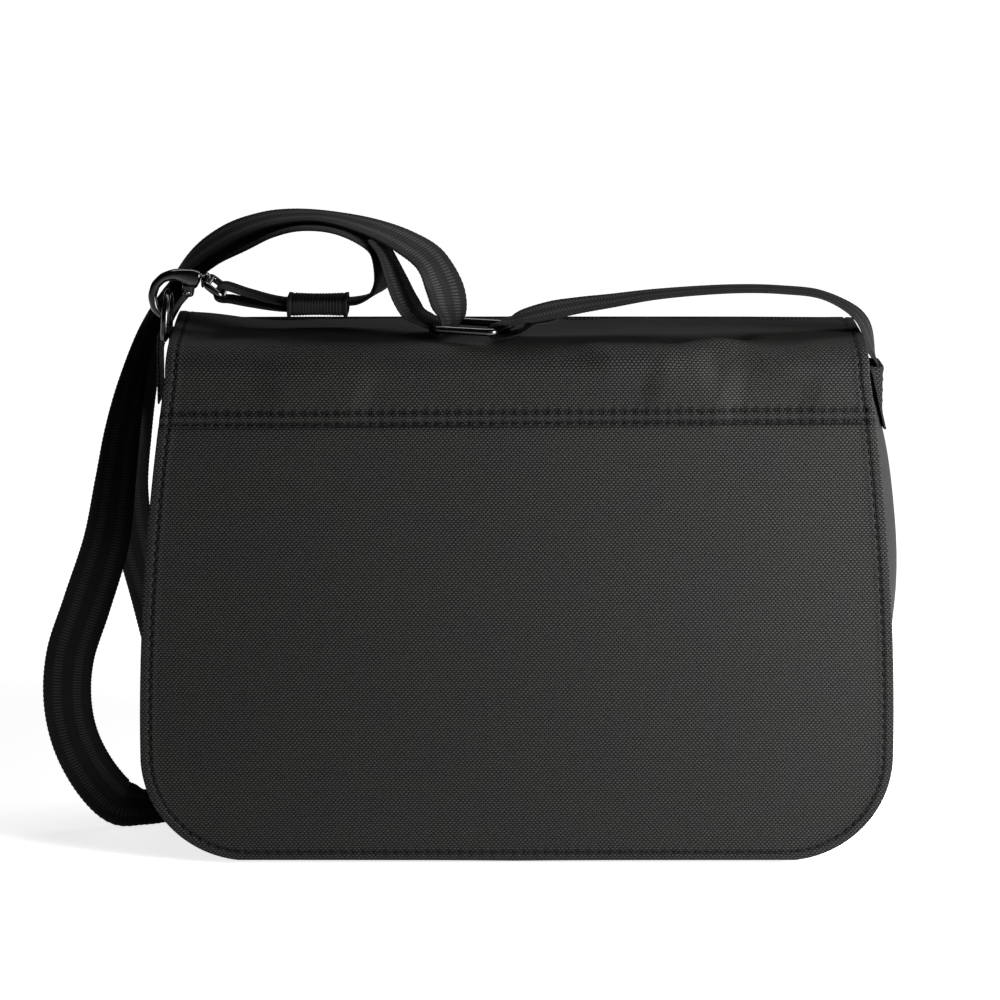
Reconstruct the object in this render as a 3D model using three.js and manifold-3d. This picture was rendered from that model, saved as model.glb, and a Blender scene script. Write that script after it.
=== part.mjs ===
// Canvas messenger bag with a full front flap, a side gusset and an adjustable webbing shoulder strap.
// Millimetres. +Z up, the flap faces -Y, +X is to the right as seen from the front.
// The origin is on the ground, at the centre of the bag's footprint.
import * as THREE from 'three';
import { mergeVertices } from 'three/addons/utils/BufferGeometryUtils.js';
import Module from 'manifold-3d';

const wasm = await Module();
wasm.setup();

// ---- driving dimensions -------------------------------------------------------------------------

const GAP = 0.3; // clearance kept between neighbouring pieces

// Front-view outlines: half width low down and at the top, height range, lower corner radius.
const FLAP = { halfLow: 188.5, halfTop: 169, bottomZ: 2, topZ: 266, cornerR: 54 };
const BODY = { halfLow: 184.5, halfTop: 168, bottomZ: 0, topZ: 266, cornerR: 52 };
const SIDE_CURVE = 1.9; // how late the sides lean in towards the top
const CORNER_STEPS = 7;
const SIDE_STEPS = 6;

// Depths, front to back.
const FACE_FRONT = -46;
const BACK_FACE = 46;
const CANVAS = 1.8;
const LINING_CLOTH = 0.8;
const PANEL_FRONT = -36.6;
const PANEL_THICK = 1.4;
const GUSSET_FRONT = PANEL_FRONT + PANEL_THICK + GAP;
const GUSSET_BACK = BACK_FACE - CANVAS - GAP;
const GUSSET_THICK = 1.6;
const GUSSET_BULGE = { left: 3, right: 13 }; // how far each side swells beyond its seams at mid height
const GUSSET_BULGE_Z = 168;

// Heights.
const FLAP_TOP_Z = 264.5; // upper face of the flap where it covers the mouth
const FOLD_Z = 261; // axis of the fold along the front top edge
const FOLD_Y = -42;
const FLAP_RELIEF = 2; // the flap's top and front both stop this short of the fold
const YOKE_SEAM_Z = 227; // lapped seam across the flap
const FRONT_PANEL_TOP_Z = 238;
const GUSSET_TOP_Z = 249;
const MOUTH_Z = 236; // top edge of the lining

// Lining and what is sewn to it.
const LINING_INSET = 5.5;
const LINING_FRONT = GUSSET_FRONT + GAP;
const LINING_BACK = GUSSET_BACK - GAP;
const BOARD = { halfWidth: 125, frontY: -30, backY: 38, z: 3.2, thick: 2 };
const BINDING = { inset: 1.9, thick: 0.9, width: 8 };
const MOUTH_TAPE = { thick: 1.6, width: 2.4 };
const FRONT_POCKET = { halfLow: 150, halfTop: 150, bottomZ: 22, topZ: 196, cornerR: 30 };
const FRONT_POCKET_THICK = 2;
const POCKET = { depth: 6.4, wall: 1.2, seam: 4, topZ: 190 }; // both patch pockets on the front lining
const SLIP_POCKET = { x0: -150, x1: -10, z0: 60 };
const PEN_POCKET = { x0: 20, x1: 100, z0: 80 };

// Zip pocket on the rear lining. Its cloth's front face is at ZIP_FRONT.
const ZIP_FRONT = 36.5;
const ZIP = { x0: -100, x1: 100, z: 200, windowHalf: 7, tapeHalf: 11, tapeThick: 0.8, chainHalf: 2.4 };
const ZIP_POCKET = { margin: 12, seam: 4, cloth: 1, bottomZ: 70, topZ: 216 };
const SLIDER = { x: ZIP.x0 + 8, plate: 1.6, half: 5, wide: 4.5, narrow: 3.5 };
const BAIL = { lugX: 3, lugHalf: 0.8, lugTall: 1.5, pinR: 0.6 };
const BAIL_Y = ZIP_FRONT - GAP - 3.4;
const PULLER = { length: 30, halfThick: 1.5, halfWidth: 1.7, eyeR: 0.9, shoulder: 4, tipThick: 1.7 };

// Magnetic closures.
const SNAP_X = 95;
const SNAP_Z = 70;
const SNAP_R = 9;
const SNAP_NUB_R = 3;
const SNAP_CAP = 0.9; // sheet of the socket's cap
const SOCKET_FRONT = -41.6;
const SOCKET_BACK = PANEL_FRONT - 2 * GAP - FRONT_POCKET_THICK;
const STUD_FRONT = -42.9;

// Webbing, tabs and hardware.
const WEB_WIDTH = 25;
const WEB_THICK = 2;
const STRAP_Y = 2; // middle of both strap tabs
const TAB_RIGHT = { outerX: 184.8, bottomZ: 217, slotBottomZ: 236 };
const TAB_LEFT = { outerX: 177.6, bottomZ: 230 };
const TAB_HALF_WIDTH = 14;
const ROD_R = 1.75; // wire of the D-ring and of the adjuster ring
const ROD_SIDES = 8;
const D_RING = { x: -176, z: 262.5, halfWidth: 14, height: 22, leanX: 1.5, corner: 2.5 };
// Canvas loop round the D-ring's straight bar, and the neck that joins it to the tab.
const TAB_LOOP = { outerR: 4.4, clearance: 0.5, neckX0: -178, neckX1: -173, neckSink: 4 };
const HOOK_HALF_THICK = 3;
const GATE_HALF_THICK = 1.6;
const GATE_PIVOT = { x: -164.5, z: 284.5 };
const GATE_TIP = { x: -174.3, z: 272.6 };
const GATE = { pivotR: 1.9, tipR: 1.3, holeR: 0.95, pinR: 0.6, pinProud: 0.4 };
const EYE = { barX: -147, stemX: -154.2, z: 290, drop: 5.5, halfWidth: 15, rodR: 1.8, corner: 2.2 };
const STEM = { x: -155.4, hookR: 3.6, eyeR: 4.2, length: 4.4 };
const RING = { x: -21.5, y: -19, z: 270.2, yawDeg: -20, halfLength: 15.5, halfWidth: 14.5, corner: 3 };
const SLEEVE = { x0: -114.5, x1: -84.5, z: 278.3, halfThick: 5, halfWidth: 14.3, slot: 2.9 };

// ---- materials ----------------------------------------------------------------------------------

const CLOTH = { canvas: 0x35363a, lining: 0x4a4b4f, webbing: 0x18191b, side: 0x2e2f33, board: 0x6b5d4c };
const METAL = { gunmetal: 0x202124, nickel: 0x8f9296, magnet: 0x55575a };

function cloth(colour) {
  return new THREE.MeshStandardMaterial({ color: colour, roughness: 0.85, metalness: 0 });
}

function metal(colour) {
  return new THREE.MeshStandardMaterial({ color: colour, roughness: 0.25, metalness: 0.9 });
}

// ---- outline helpers ----------------------------------------------------------------------------

// Half width of an outline at a height above its lower corner.
function sideHalfWidth(outline, z) {
  const start = outline.bottomZ + outline.cornerR;
  const t = Math.max(0, (z - start) / (outline.topZ - start));
  return outline.halfLow - (outline.halfLow - outline.halfTop) * t ** SIDE_CURVE;
}

// Points up the right-hand side, from the bottom of the corner (or lowZ) to highZ, moved in by inset.
function sidePoints(outline, inset, lowZ, highZ) {
  const cornerTop = outline.bottomZ + outline.cornerR;
  const points = [];
  if (lowZ < cornerTop) {
    const centreX = outline.halfLow - outline.cornerR;
    const r = outline.cornerR - inset;
    for (let i = 0; i < CORNER_STEPS; i++) {
      const a = (i / CORNER_STEPS) * (Math.PI / 2);
      points.push(new THREE.Vector2(centreX + r * Math.sin(a), cornerTop - r * Math.cos(a)));
    }
  }
  const from = Math.max(lowZ, cornerTop);
  for (let i = 0; i <= SIDE_STEPS; i++) {
    const z = from + ((highZ - from) * i) / SIDE_STEPS;
    points.push(new THREE.Vector2(sideHalfWidth(outline, z) - inset, z));
  }
  return points;
}

// Both sides of an outline, as one run from the left top corner round the bottom to the right top.
function wholeOutline(outline, inset, lowZ, highZ) {
  const right = sidePoints(outline, inset, lowZ, highZ);
  const left = right.map((p) => new THREE.Vector2(-p.x, p.y)).reverse();
  return left.concat(right);
}

// A flat panel of the outline's shape, its front face at frontY.
function panel(outline, inset, lowZ, highZ, frontY, thick) {
  const shape = new THREE.Shape(wholeOutline(outline, inset, lowZ, highZ));
  return slab(shape, frontY, thick);
}

// A shape drawn in the XZ plane, given thickness along Y from frontY backwards.
function slab(shape, frontY, thick, curveSegments = 8) {
  const geometry = new THREE.ExtrudeGeometry(shape, { depth: thick, bevelEnabled: false, curveSegments });
  geometry.rotateX(Math.PI / 2);
  geometry.translate(0, frontY + thick, 0);
  return geometry;
}

function box(x0, x1, y0, y1, z0, z1) {
  const geometry = new THREE.BoxGeometry(x1 - x0, y1 - y0, z1 - z0);
  geometry.translate((x0 + x1) / 2, (y0 + y1) / 2, (z0 + z1) / 2);
  return geometry;
}

// A disc or ring whose axis runs along Y.
function disc(x, z, frontY, thick, radius, holeRadius = 0) {
  const shape = new THREE.Shape();
  shape.absarc(x, z, radius, 0, 2 * Math.PI, false);
  if (holeRadius > 0) {
    const hole = new THREE.Path();
    hole.absarc(x, z, holeRadius, 0, 2 * Math.PI, true);
    shape.holes.push(hole);
  }
  return slab(shape, frontY, thick, 10);
}

// ---- solid helpers ------------------------------------------------------------------------------

function toManifold(geometry) {
  const bare = geometry.clone();
  bare.deleteAttribute('normal');
  bare.deleteAttribute('uv');
  const merged = mergeVertices(bare, 1e-4);
  const vertProperties = new Float32Array(merged.attributes.position.array);
  const triVerts = new Uint32Array(merged.index.array);
  return new wasm.Manifold(new wasm.Mesh({ numProp: 3, vertProperties, triVerts }));
}

function fromManifold(solid) {
  const mesh = solid.getMesh();
  const geometry = new THREE.BufferGeometry();
  geometry.setAttribute('position', new THREE.BufferAttribute(mesh.vertProperties, 3));
  geometry.setIndex(new THREE.BufferAttribute(mesh.triVerts, 1));
  return geometry;
}

function join(...parts) {
  return fromManifold(parts.map(toManifold).reduce((sum, part) => sum.add(part)));
}

function cut(body, ...tools) {
  return fromManifold(tools.map(toManifold).reduce((rest, tool) => rest.subtract(tool), toManifold(body)));
}

// Skin over a row of rings with equally many points. An open row is capped at both ends by pairing the
// ring's first point with its last, its second with its last but one, and so on.
function loft(rings, closed = false) {
  const count = rings[0].length;
  const positions = rings.flat().flatMap((p) => [p.x, p.y, p.z]);
  const index = [];
  const quad = (a, b, c, d) => index.push(a, b, c, a, c, d);
  const spans = closed ? rings.length : rings.length - 1;
  for (let i = 0; i < spans; i++) {
    const here = i * count;
    const next = ((i + 1) % rings.length) * count;
    for (let j = 0; j < count; j++) {
      const k = (j + 1) % count;
      quad(here + j, here + k, next + k, next + j);
    }
  }
  if (!closed) {
    const last = (rings.length - 1) * count;
    for (let j = 0; j < count / 2 - 1; j++) {
      quad(count - 1 - j, count - 2 - j, j + 1, j);
      quad(last + j, last + j + 1, last + count - 2 - j, last + count - 1 - j);
    }
  }
  if (signedVolume(positions, index) < 0) index.reverse();
  const geometry = new THREE.BufferGeometry();
  geometry.setAttribute('position', new THREE.Float32BufferAttribute(positions, 3));
  geometry.setIndex(index);
  return geometry;
}

function signedVolume(positions, index) {
  const point = (i) => new THREE.Vector3().fromArray(positions, index[i] * 3);
  let six = 0;
  for (let i = 0; i < index.length; i += 3) {
    six += point(i).dot(point(i + 1).cross(point(i + 2)));
  }
  return six / 6;
}

// Round wire bent into a flat closed loop. The loop's plane has the given normal.
function wireLoop(points, normal, radius) {
  const rings = points.map((point, i) => {
    const before = points[(i + points.length - 1) % points.length];
    const after = points[(i + 1) % points.length];
    const along = new THREE.Vector3().subVectors(after, before).normalize();
    const side = new THREE.Vector3().crossVectors(along, normal);
    return circleOfPoints(ROD_SIDES, (a) => point.clone()
      .addScaledVector(side, radius * Math.cos(a))
      .addScaledVector(normal, radius * Math.sin(a)));
  });
  return loft(rings, true);
}

function circleOfPoints(count, at) {
  return Array.from({ length: count }, (_, i) => at((i / count) * 2 * Math.PI));
}

// Flat webbing along a route. Each row is x, y, z, turn, rise: a point on the middle line, and the way
// the webbing's width points there, turned from +Y towards +X and raised above the horizontal, in degrees.
function webbing(route) {
  const points = route.map(([x, y, z]) => new THREE.Vector3(x, y, z));
  const curve = new THREE.CatmullRomCurve3(points, false, 'centripetal');
  const rings = route.map(([, , , turn, rise], i) => {
    const along = curve.getTangent(i / (route.length - 1));
    const level = Math.cos(THREE.MathUtils.degToRad(rise));
    const across = new THREE.Vector3(
      level * Math.sin(THREE.MathUtils.degToRad(turn)),
      level * Math.cos(THREE.MathUtils.degToRad(turn)),
      Math.sin(THREE.MathUtils.degToRad(rise)),
    );
    across.addScaledVector(along, -across.dot(along)).normalize();
    const through = new THREE.Vector3().crossVectors(along, across);
    return flatSection(points[i], across, through);
  });
  return loft(rings);
}

// Eight-sided section of the webbing: a rectangle with its long edges eased.
function flatSection(centre, across, through) {
  const w = WEB_WIDTH / 2;
  const t = WEB_THICK / 2;
  const ease = 0.5;
  const corners = [
    [-w, -t + ease], [-w + 2 * ease, -t], [w - 2 * ease, -t], [w, -t + ease],
    [w, t - ease], [w - 2 * ease, t], [-w + 2 * ease, t], [-w, t - ease],
  ];
  return corners.map(([a, b]) => centre.clone().addScaledVector(across, a).addScaledVector(through, b));
}

// ---- body shell ---------------------------------------------------------------------------------

// How far the gusset's middle swells out at a height: nothing on the ground, most at mid height.
function gussetBulge(x, z) {
  const most = x < 0 ? GUSSET_BULGE.left : GUSSET_BULGE.right;
  return most * Math.sin((Math.PI / 2) * (Math.max(z, 0) / GUSSET_BULGE_Z)) ** 3;
}

// Outside of the gusset at mid depth, on the left (side -1) or the right (side 1).
function gussetX(side, z) {
  return side * (sideHalfWidth(BODY, z) + gussetBulge(side, z));
}

// A strip that runs up one side, under the bag and up the other, between two depths. Its middle swells.
function outlineStrip(inset, thick, y0, y1, topZ, bulgeAt, columns) {
  const run = wholeOutline(BODY, inset, BODY.bottomZ, topZ);
  const rings = run.map((p, i) => {
    const before = run[Math.max(i - 1, 0)];
    const after = run[Math.min(i + 1, run.length - 1)];
    const along = new THREE.Vector2().subVectors(after, before).normalize();
    const out = new THREE.Vector2(along.y, -along.x);
    const rail = (depth) => Array.from({ length: columns + 1 }, (_, j) => {
      const v = j / columns;
      const offset = bulgeAt(p.x, p.y) * 4 * v * (1 - v) - depth;
      return new THREE.Vector3(p.x + out.x * offset, y0 + (y1 - y0) * v, p.y + out.y * offset);
    });
    return rail(0).concat(rail(thick).reverse());
  });
  return loft(rings);
}

function gusset() {
  const strip = outlineStrip(0, GUSSET_THICK, GUSSET_FRONT, GUSSET_BACK, GUSSET_TOP_Z, gussetBulge, 6);
  const aboveTop = box(-200, 200, -60, 60, GUSSET_TOP_Z, GUSSET_TOP_Z + 20);
  return cut(strip, aboveTop);
}

function seamBinding(y0) {
  return outlineStrip(BINDING.inset, BINDING.thick, y0, y0 + BINDING.width, MOUTH_Z, () => 0, 1);
}

function lining() {
  const depth = LINING_BACK - LINING_FRONT;
  const outer = panel(BODY, LINING_INSET, 0, MOUTH_Z, LINING_FRONT, depth);
  const hollowInset = LINING_INSET + LINING_CLOTH;
  const hollowDepth = depth - 2 * LINING_CLOTH;
  const hollow = panel(BODY, hollowInset, 0, MOUTH_Z + 5, LINING_FRONT + LINING_CLOTH, hollowDepth);
  return cut(outer, hollow);
}

// Tape folded over the mouth's edge, all the way round.
function mouthBinding() {
  const half = sideHalfWidth(BODY, MOUTH_Z) - LINING_INSET;
  const z0 = MOUTH_Z + GAP;
  const z1 = z0 + MOUTH_TAPE.thick;
  const wide = MOUTH_TAPE.width;
  const outer = box(-half, half, LINING_FRONT, LINING_BACK, z0, z1);
  const inner = box(-half + wide, half - wide, LINING_FRONT + wide, LINING_BACK - wide, z0 - 1, z1 + 1);
  return cut(outer, inner);
}

// A patch pocket: a plate held off the lining in front of it by a rim on its two sides and bottom.
function patchPocket({ x0, x1, z0 }) {
  const y0 = LINING_FRONT + LINING_CLOTH + GAP;
  const y1 = y0 + POCKET.depth;
  return cut(
    box(x0, x1, y0, y1, z0, POCKET.topZ),
    box(x0 + POCKET.seam, x1 - POCKET.seam, y0 - 1, y1 - POCKET.wall, z0 + POCKET.seam, POCKET.topZ + 1),
  );
}

// Outer pocket under the flap: a cloth with a shallow hollow behind it, open at the top.
function frontPocket() {
  const { bottomZ, topZ } = FRONT_POCKET;
  const y0 = PANEL_FRONT - GAP - FRONT_POCKET_THICK;
  const patch = panel(FRONT_POCKET, 0, bottomZ, topZ, y0, FRONT_POCKET_THICK);
  const taller = { ...FRONT_POCKET, topZ: topZ + 10 };
  const hollow = panel(taller, 5, bottomZ, taller.topZ, y0 + FRONT_POCKET_THICK / 2, FRONT_POCKET_THICK);
  return cut(patch, hollow);
}

// ---- zip pocket on the rear lining --------------------------------------------------------------

function zipPocket() {
  const back = LINING_BACK - LINING_CLOTH - GAP;
  const { margin, seam, cloth: thick, bottomZ, topZ } = ZIP_POCKET;
  const inner = margin - seam;
  return cut(
    box(ZIP.x0 - margin, ZIP.x1 + margin, ZIP_FRONT, back, bottomZ, topZ),
    box(ZIP.x0 - inner, ZIP.x1 + inner, ZIP_FRONT + thick, back + 1, bottomZ + seam, topZ - seam),
    box(ZIP.x0, ZIP.x1, ZIP_FRONT - 1, ZIP_FRONT + 2, ZIP.z - ZIP.windowHalf, ZIP.z + ZIP.windowHalf),
  );
}

// The two tapes behind the window, with the closed chain of teeth standing forward between them.
function zipTape() {
  const y0 = ZIP_FRONT + ZIP_POCKET.cloth + GAP;
  const { tapeHalf, tapeThick, chainHalf } = ZIP;
  const tape = box(ZIP.x0 - 6, ZIP.x1 + 6, y0, y0 + tapeThick, ZIP.z - tapeHalf, ZIP.z + tapeHalf);
  const teethY = [ZIP_FRONT, y0 + tapeThick / 2];
  const chain = box(ZIP.x0 + 2, ZIP.x1 - 2, ...teethY, ZIP.z - chainHalf, ZIP.z + chainHalf);
  return join(tape, chain);
}

// Slider seen from the front: a shield with two lugs and a pin on it, at the chain's left-hand end.
function zipSlider() {
  const { x, plate, half, wide, narrow } = SLIDER;
  const { lugX, lugHalf, lugTall, pinR } = BAIL;
  const round = 2.5;
  const shield = new THREE.Shape();
  shield.moveTo(x - half, ZIP.z - wide + round);
  shield.quadraticCurveTo(x - half, ZIP.z - wide, x - half + round, ZIP.z - wide);
  shield.lineTo(x + half, ZIP.z - narrow);
  shield.lineTo(x + half, ZIP.z + narrow);
  shield.lineTo(x - half + round, ZIP.z + wide);
  shield.quadraticCurveTo(x - half, ZIP.z + wide, x - half, ZIP.z + wide - round);
  const back = ZIP_FRONT - GAP;
  const body = slab(shield, back - plate, plate, 3);
  const lugs = [-1, 1].map((side) => {
    const middle = x + side * lugX;
    const lugY = [BAIL_Y - lugHalf, back - plate / 2];
    return box(middle - lugHalf, middle + lugHalf, ...lugY, ZIP.z - lugTall, ZIP.z + lugTall);
  });
  const pin = new THREE.CylinderGeometry(pinR, pinR, 2 * lugX, 8);
  pin.rotateZ(Math.PI / 2);
  pin.translate(x, BAIL_Y, ZIP.z);
  return join(body, ...lugs, pin);
}

// Puller seen from the side: a round eye on the slider's pin and a tab that thins towards its tip.
function zipPuller() {
  const { length, halfThick, halfWidth, eyeR, shoulder, tipThick } = PULLER;
  const shape = new THREE.Shape();
  shape.moveTo(BAIL_Y - halfThick, ZIP.z);
  shape.lineTo(BAIL_Y - halfThick, ZIP.z - length);
  shape.lineTo(BAIL_Y - halfThick + tipThick, ZIP.z - length);
  shape.lineTo(BAIL_Y + halfThick, ZIP.z - shoulder);
  shape.lineTo(BAIL_Y + halfThick, ZIP.z);
  shape.absarc(BAIL_Y, ZIP.z, halfThick, 0, Math.PI, false);
  const eye = new THREE.Path();
  eye.absarc(BAIL_Y, ZIP.z, eyeR, 0, 2 * Math.PI, true);
  shape.holes.push(eye);
  const settings = { depth: 2 * halfWidth, bevelEnabled: false, curveSegments: 5 };
  const tab = new THREE.ExtrudeGeometry(shape, settings);
  tab.applyMatrix4(new THREE.Matrix4().makeBasis(
    new THREE.Vector3(0, 1, 0), new THREE.Vector3(0, 0, 1), new THREE.Vector3(1, 0, 0),
  ));
  tab.translate(SLIDER.x - halfWidth, 0, 0);
  return tab;
}

// ---- magnetic closures --------------------------------------------------------------------------

// Cap with a hole for the stud's nub, hollow behind for the magnet.
function snapSocket(x) {
  const depth = SOCKET_BACK - SOCKET_FRONT;
  return cut(
    disc(x, SNAP_Z, SOCKET_FRONT, depth, SNAP_R, SNAP_NUB_R + 0.4),
    disc(x, SNAP_Z, SOCKET_FRONT + SNAP_CAP, depth, SNAP_R - SNAP_CAP),
  );
}

function snapMagnet(x) {
  const front = SOCKET_FRONT + SNAP_CAP + GAP;
  return disc(x, SNAP_Z, front, SOCKET_BACK - GAP - front, SNAP_R - SNAP_CAP - GAP, SNAP_NUB_R + 0.8);
}

function snapStud(x) {
  return join(
    disc(x, SNAP_Z, STUD_FRONT, 1, SNAP_R),
    disc(x, SNAP_Z, STUD_FRONT + 0.5, 2, SNAP_NUB_R),
  );
}

// ---- strap tabs and metalwork -------------------------------------------------------------------

// Side view of a tab against the swelling gusset, on the left (side -1) or the right (side 1).
function tabProfile(side, { outerX, bottomZ }) {
  const steps = 4;
  const against = Array.from({ length: steps + 1 }, (_, i) => {
    const z = GUSSET_TOP_Z + (i / steps) * (bottomZ - GUSSET_TOP_Z);
    return new THREE.Vector2(gussetX(side, z) + side * GAP, z);
  });
  const outer = [new THREE.Vector2(side * outerX, bottomZ), new THREE.Vector2(side * outerX, GUSSET_TOP_Z)];
  return new THREE.Shape(against.concat(outer));
}

function strapTabRight() {
  const tab = slab(tabProfile(1, TAB_RIGHT), STRAP_Y - TAB_HALF_WIDTH, 2 * TAB_HALF_WIDTH);
  const slotHalf = WEB_WIDTH / 2 + GAP;
  const slotX = STRAP_SHORT[0][0];
  const halfThick = WEB_THICK / 2 + GAP;
  const { slotBottomZ: z0 } = TAB_RIGHT;
  const y = [STRAP_Y - slotHalf, STRAP_Y + slotHalf];
  return cut(tab, box(slotX - halfThick, slotX + halfThick, ...y, z0, GUSSET_TOP_Z + 1));
}

// The left tab is narrower and ends in a loop of canvas round the D-ring's straight bar.
function strapTabLeft() {
  const half = D_RING.halfWidth - ROD_R - 0.6;
  const tab = slab(tabProfile(-1, TAB_LEFT), STRAP_Y - half, 2 * half);
  const loop = disc(D_RING.x, D_RING.z, STRAP_Y - half, 2 * half, TAB_LOOP.outerR);
  const { neckX0, neckX1, neckSink } = TAB_LOOP;
  const neck = box(neckX0, neckX1, STRAP_Y - half, STRAP_Y + half, GUSSET_TOP_Z - neckSink, D_RING.z);
  const bore = disc(D_RING.x, D_RING.z, STRAP_Y - 20, 40, ROD_R + TAB_LOOP.clearance);
  return cut(join(tab, loop, neck), bore);
}

function dRing() {
  const rise = Math.sqrt(D_RING.height ** 2 - D_RING.leanX ** 2);
  const up = new THREE.Vector3(D_RING.leanX, 0, rise).normalize();
  const at = (y, along) => new THREE.Vector3(D_RING.x, STRAP_Y + y, D_RING.z).addScaledVector(up, along);
  const r = D_RING.halfWidth;
  const arcCentre = D_RING.height - r;
  const points = [at(-r + D_RING.corner, 0), at(-r, D_RING.corner)];
  const steps = 10;
  for (let i = 0; i <= steps; i++) {
    const a = Math.PI - (i / steps) * Math.PI;
    points.push(at(r * Math.cos(a), arcCentre + r * Math.sin(a)));
  }
  points.push(at(r, D_RING.corner), at(r - D_RING.corner, 0));
  const normal = new THREE.Vector3().crossVectors(up, new THREE.Vector3(0, 1, 0)).normalize();
  return wireLoop(points, normal, ROD_R);
}

// Hook seen from the front: the crown over the D-ring, the nose on the left, the root at the swivel.
function hookBody() {
  const shape = new THREE.Shape();
  shape.moveTo(-158.3, 295);
  shape.quadraticCurveTo(-164, 297.8, -171, 296.6);
  shape.quadraticCurveTo(-182.5, 294, -184.6, 284);
  shape.quadraticCurveTo(-185.2, 274.5, -178.2, 270.4);
  shape.lineTo(-176, 272.4);
  shape.quadraticCurveTo(-180.6, 277, -180.4, 283);
  shape.quadraticCurveTo(-179, 289.6, -173, 290.2);
  shape.quadraticCurveTo(-168.8, 290, -168.2, 286.6);
  shape.lineTo(-166.4, 281.6);
  shape.quadraticCurveTo(-163.4, 280.2, -161.4, 283);
  shape.quadraticCurveTo(-160.6, 285.2, -158.3, 285.6);
  const body = slab(shape, STRAP_Y - HOOK_HALF_THICK, 2 * HOOK_HALF_THICK, 5);
  const slotFront = STRAP_Y - GATE_HALF_THICK - GAP;
  const slotBack = STRAP_Y + GATE_HALF_THICK + GAP;
  const gateSlot = box(-170, -161.9, slotFront, slotBack, 278, 287.6);
  const pinBore = disc(GATE_PIVOT.x, GATE_PIVOT.z, STRAP_Y - 10, 20, GATE.pinR + GAP);
  return cut(body, gateSlot, pinBore);
}

// Sprung bar from the pin to the nose.
function hookGate() {
  const dx = GATE_TIP.x - GATE_PIVOT.x;
  const dz = GATE_TIP.z - GATE_PIVOT.z;
  const length = Math.hypot(dx, dz);
  const { pivotR, tipR, holeR } = GATE;
  const shape = new THREE.Shape();
  shape.moveTo(0, pivotR);
  shape.absarc(0, 0, pivotR, Math.PI / 2, 1.5 * Math.PI, false);
  shape.lineTo(length - tipR, -tipR);
  shape.absarc(length - tipR, 0, tipR, -Math.PI / 2, Math.PI / 2, false);
  const hole = new THREE.Path();
  hole.absarc(0, 0, holeR, 0, 2 * Math.PI, true);
  shape.holes.push(hole);
  const gate = slab(shape, STRAP_Y - GATE_HALF_THICK, 2 * GATE_HALF_THICK, 5);
  gate.rotateY(-Math.atan2(dz, dx));
  gate.translate(GATE_PIVOT.x, 0, GATE_PIVOT.z);
  return gate;
}

function hookPin() {
  const halfLength = HOOK_HALF_THICK + GATE.pinProud;
  return disc(GATE_PIVOT.x, GATE_PIVOT.z, STRAP_Y - halfLength, 2 * halfLength, GATE.pinR);
}

// Swivel eye: a barrel on the hook's axis and the flat loop, sloping down, that the webbing goes round.
function hookEye() {
  const stem = new THREE.CylinderGeometry(STEM.eyeR, STEM.hookR, STEM.length, 12);
  stem.rotateZ(-Math.PI / 2);
  stem.translate(STEM.x, STRAP_Y, EYE.z);
  const { stemX: x0, barX: x1, halfWidth: w, corner, drop } = EYE;
  const flat = [
    [x0, -w + corner], [x0 + corner, -w], [x1 - corner, -w], [x1, -w + corner],
    [x1, w - corner], [x1 - corner, w], [x0 + corner, w], [x0, w - corner],
  ];
  const slope = drop / (x1 - x0);
  const points = flat.map(([x, y]) => new THREE.Vector3(x, STRAP_Y + y, EYE.z - slope * (x - x0)));
  return join(stem, wireLoop(points, new THREE.Vector3(slope, 0, 1).normalize(), EYE.rodR));
}

function adjusterRing() {
  const { halfLength: a, halfWidth: b, corner: c } = RING;
  const e = 0.3 * c;
  const flat = [
    [-a, -b + c], [-a + e, -b + e], [-a + c, -b], [a - c, -b], [a - e, -b + e], [a, -b + c],
    [a, b - c], [a - e, b - e], [a - c, b], [-a + c, b], [-a + e, b - e], [-a, b - c],
  ];
  const loop = wireLoop(flat.map(([x, y]) => new THREE.Vector3(x, y, 0)), new THREE.Vector3(0, 0, 1), ROD_R);
  loop.rotateZ(THREE.MathUtils.degToRad(RING.yawDeg));
  loop.translate(RING.x, RING.y, RING.z);
  return loop;
}

function strapSleeve() {
  const { x0, x1, z, halfThick, halfWidth, slot } = SLEEVE;
  const y0 = STRAP_Y - halfWidth;
  const y1 = STRAP_Y + halfWidth;
  const slotHalf = WEB_WIDTH / 2 + GAP;
  return cut(
    box(x0, x1, y0, y1, z - halfThick, z + halfThick),
    box(x0 - 1, x1 + 1, STRAP_Y - slotHalf, STRAP_Y + slotHalf, z - slot, z + slot),
  );
}

// ---- shoulder strap -----------------------------------------------------------------------------

// Fixed length: out of the right tab, over the flap, round the ring's right bar and back under itself.
const STRAP_SHORT = [
  [180.5, 2, 240, 0, 0], [180.4, 2, 249, 0, 0], [178.4, 1.8, 256.5, 12, 0], [174.4, 0.5, 268, 16, 0],
  [167.5, -1, 275.8, 12, 0], [152, -3, 283.8, 5, 0], [131.7, -6, 286.8, 0, 0], [108, -9, 287.7, 0, 0],
  [69.4, -13.5, 285.7, 0, 2], [46, -16.5, 282.8, 0, 6], [31, -18.5, 281, 0, 9], [17.5, -20.8, 278.9, 4, 12],
  [4, -23.3, 275.8, 12, 10], [-1.8, -24.6, 274.2, 18, 3], [-6.9, -24.3, 273.6, 20, 0],
  [-9.5, -23.4, 272.4, 20, 0], [-10.4, -23.1, 270.2, 20, 0], [-9.3, -23.4, 267.9, 20, 0],
  [-6.8, -24.3, 266.9, 20, 0], [2.2, -26.4, 269.2, 17, 3], [9, -24.6, 273.2, 10, 9],
  [16, -22.3, 276.3, 5, 12],
];

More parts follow.
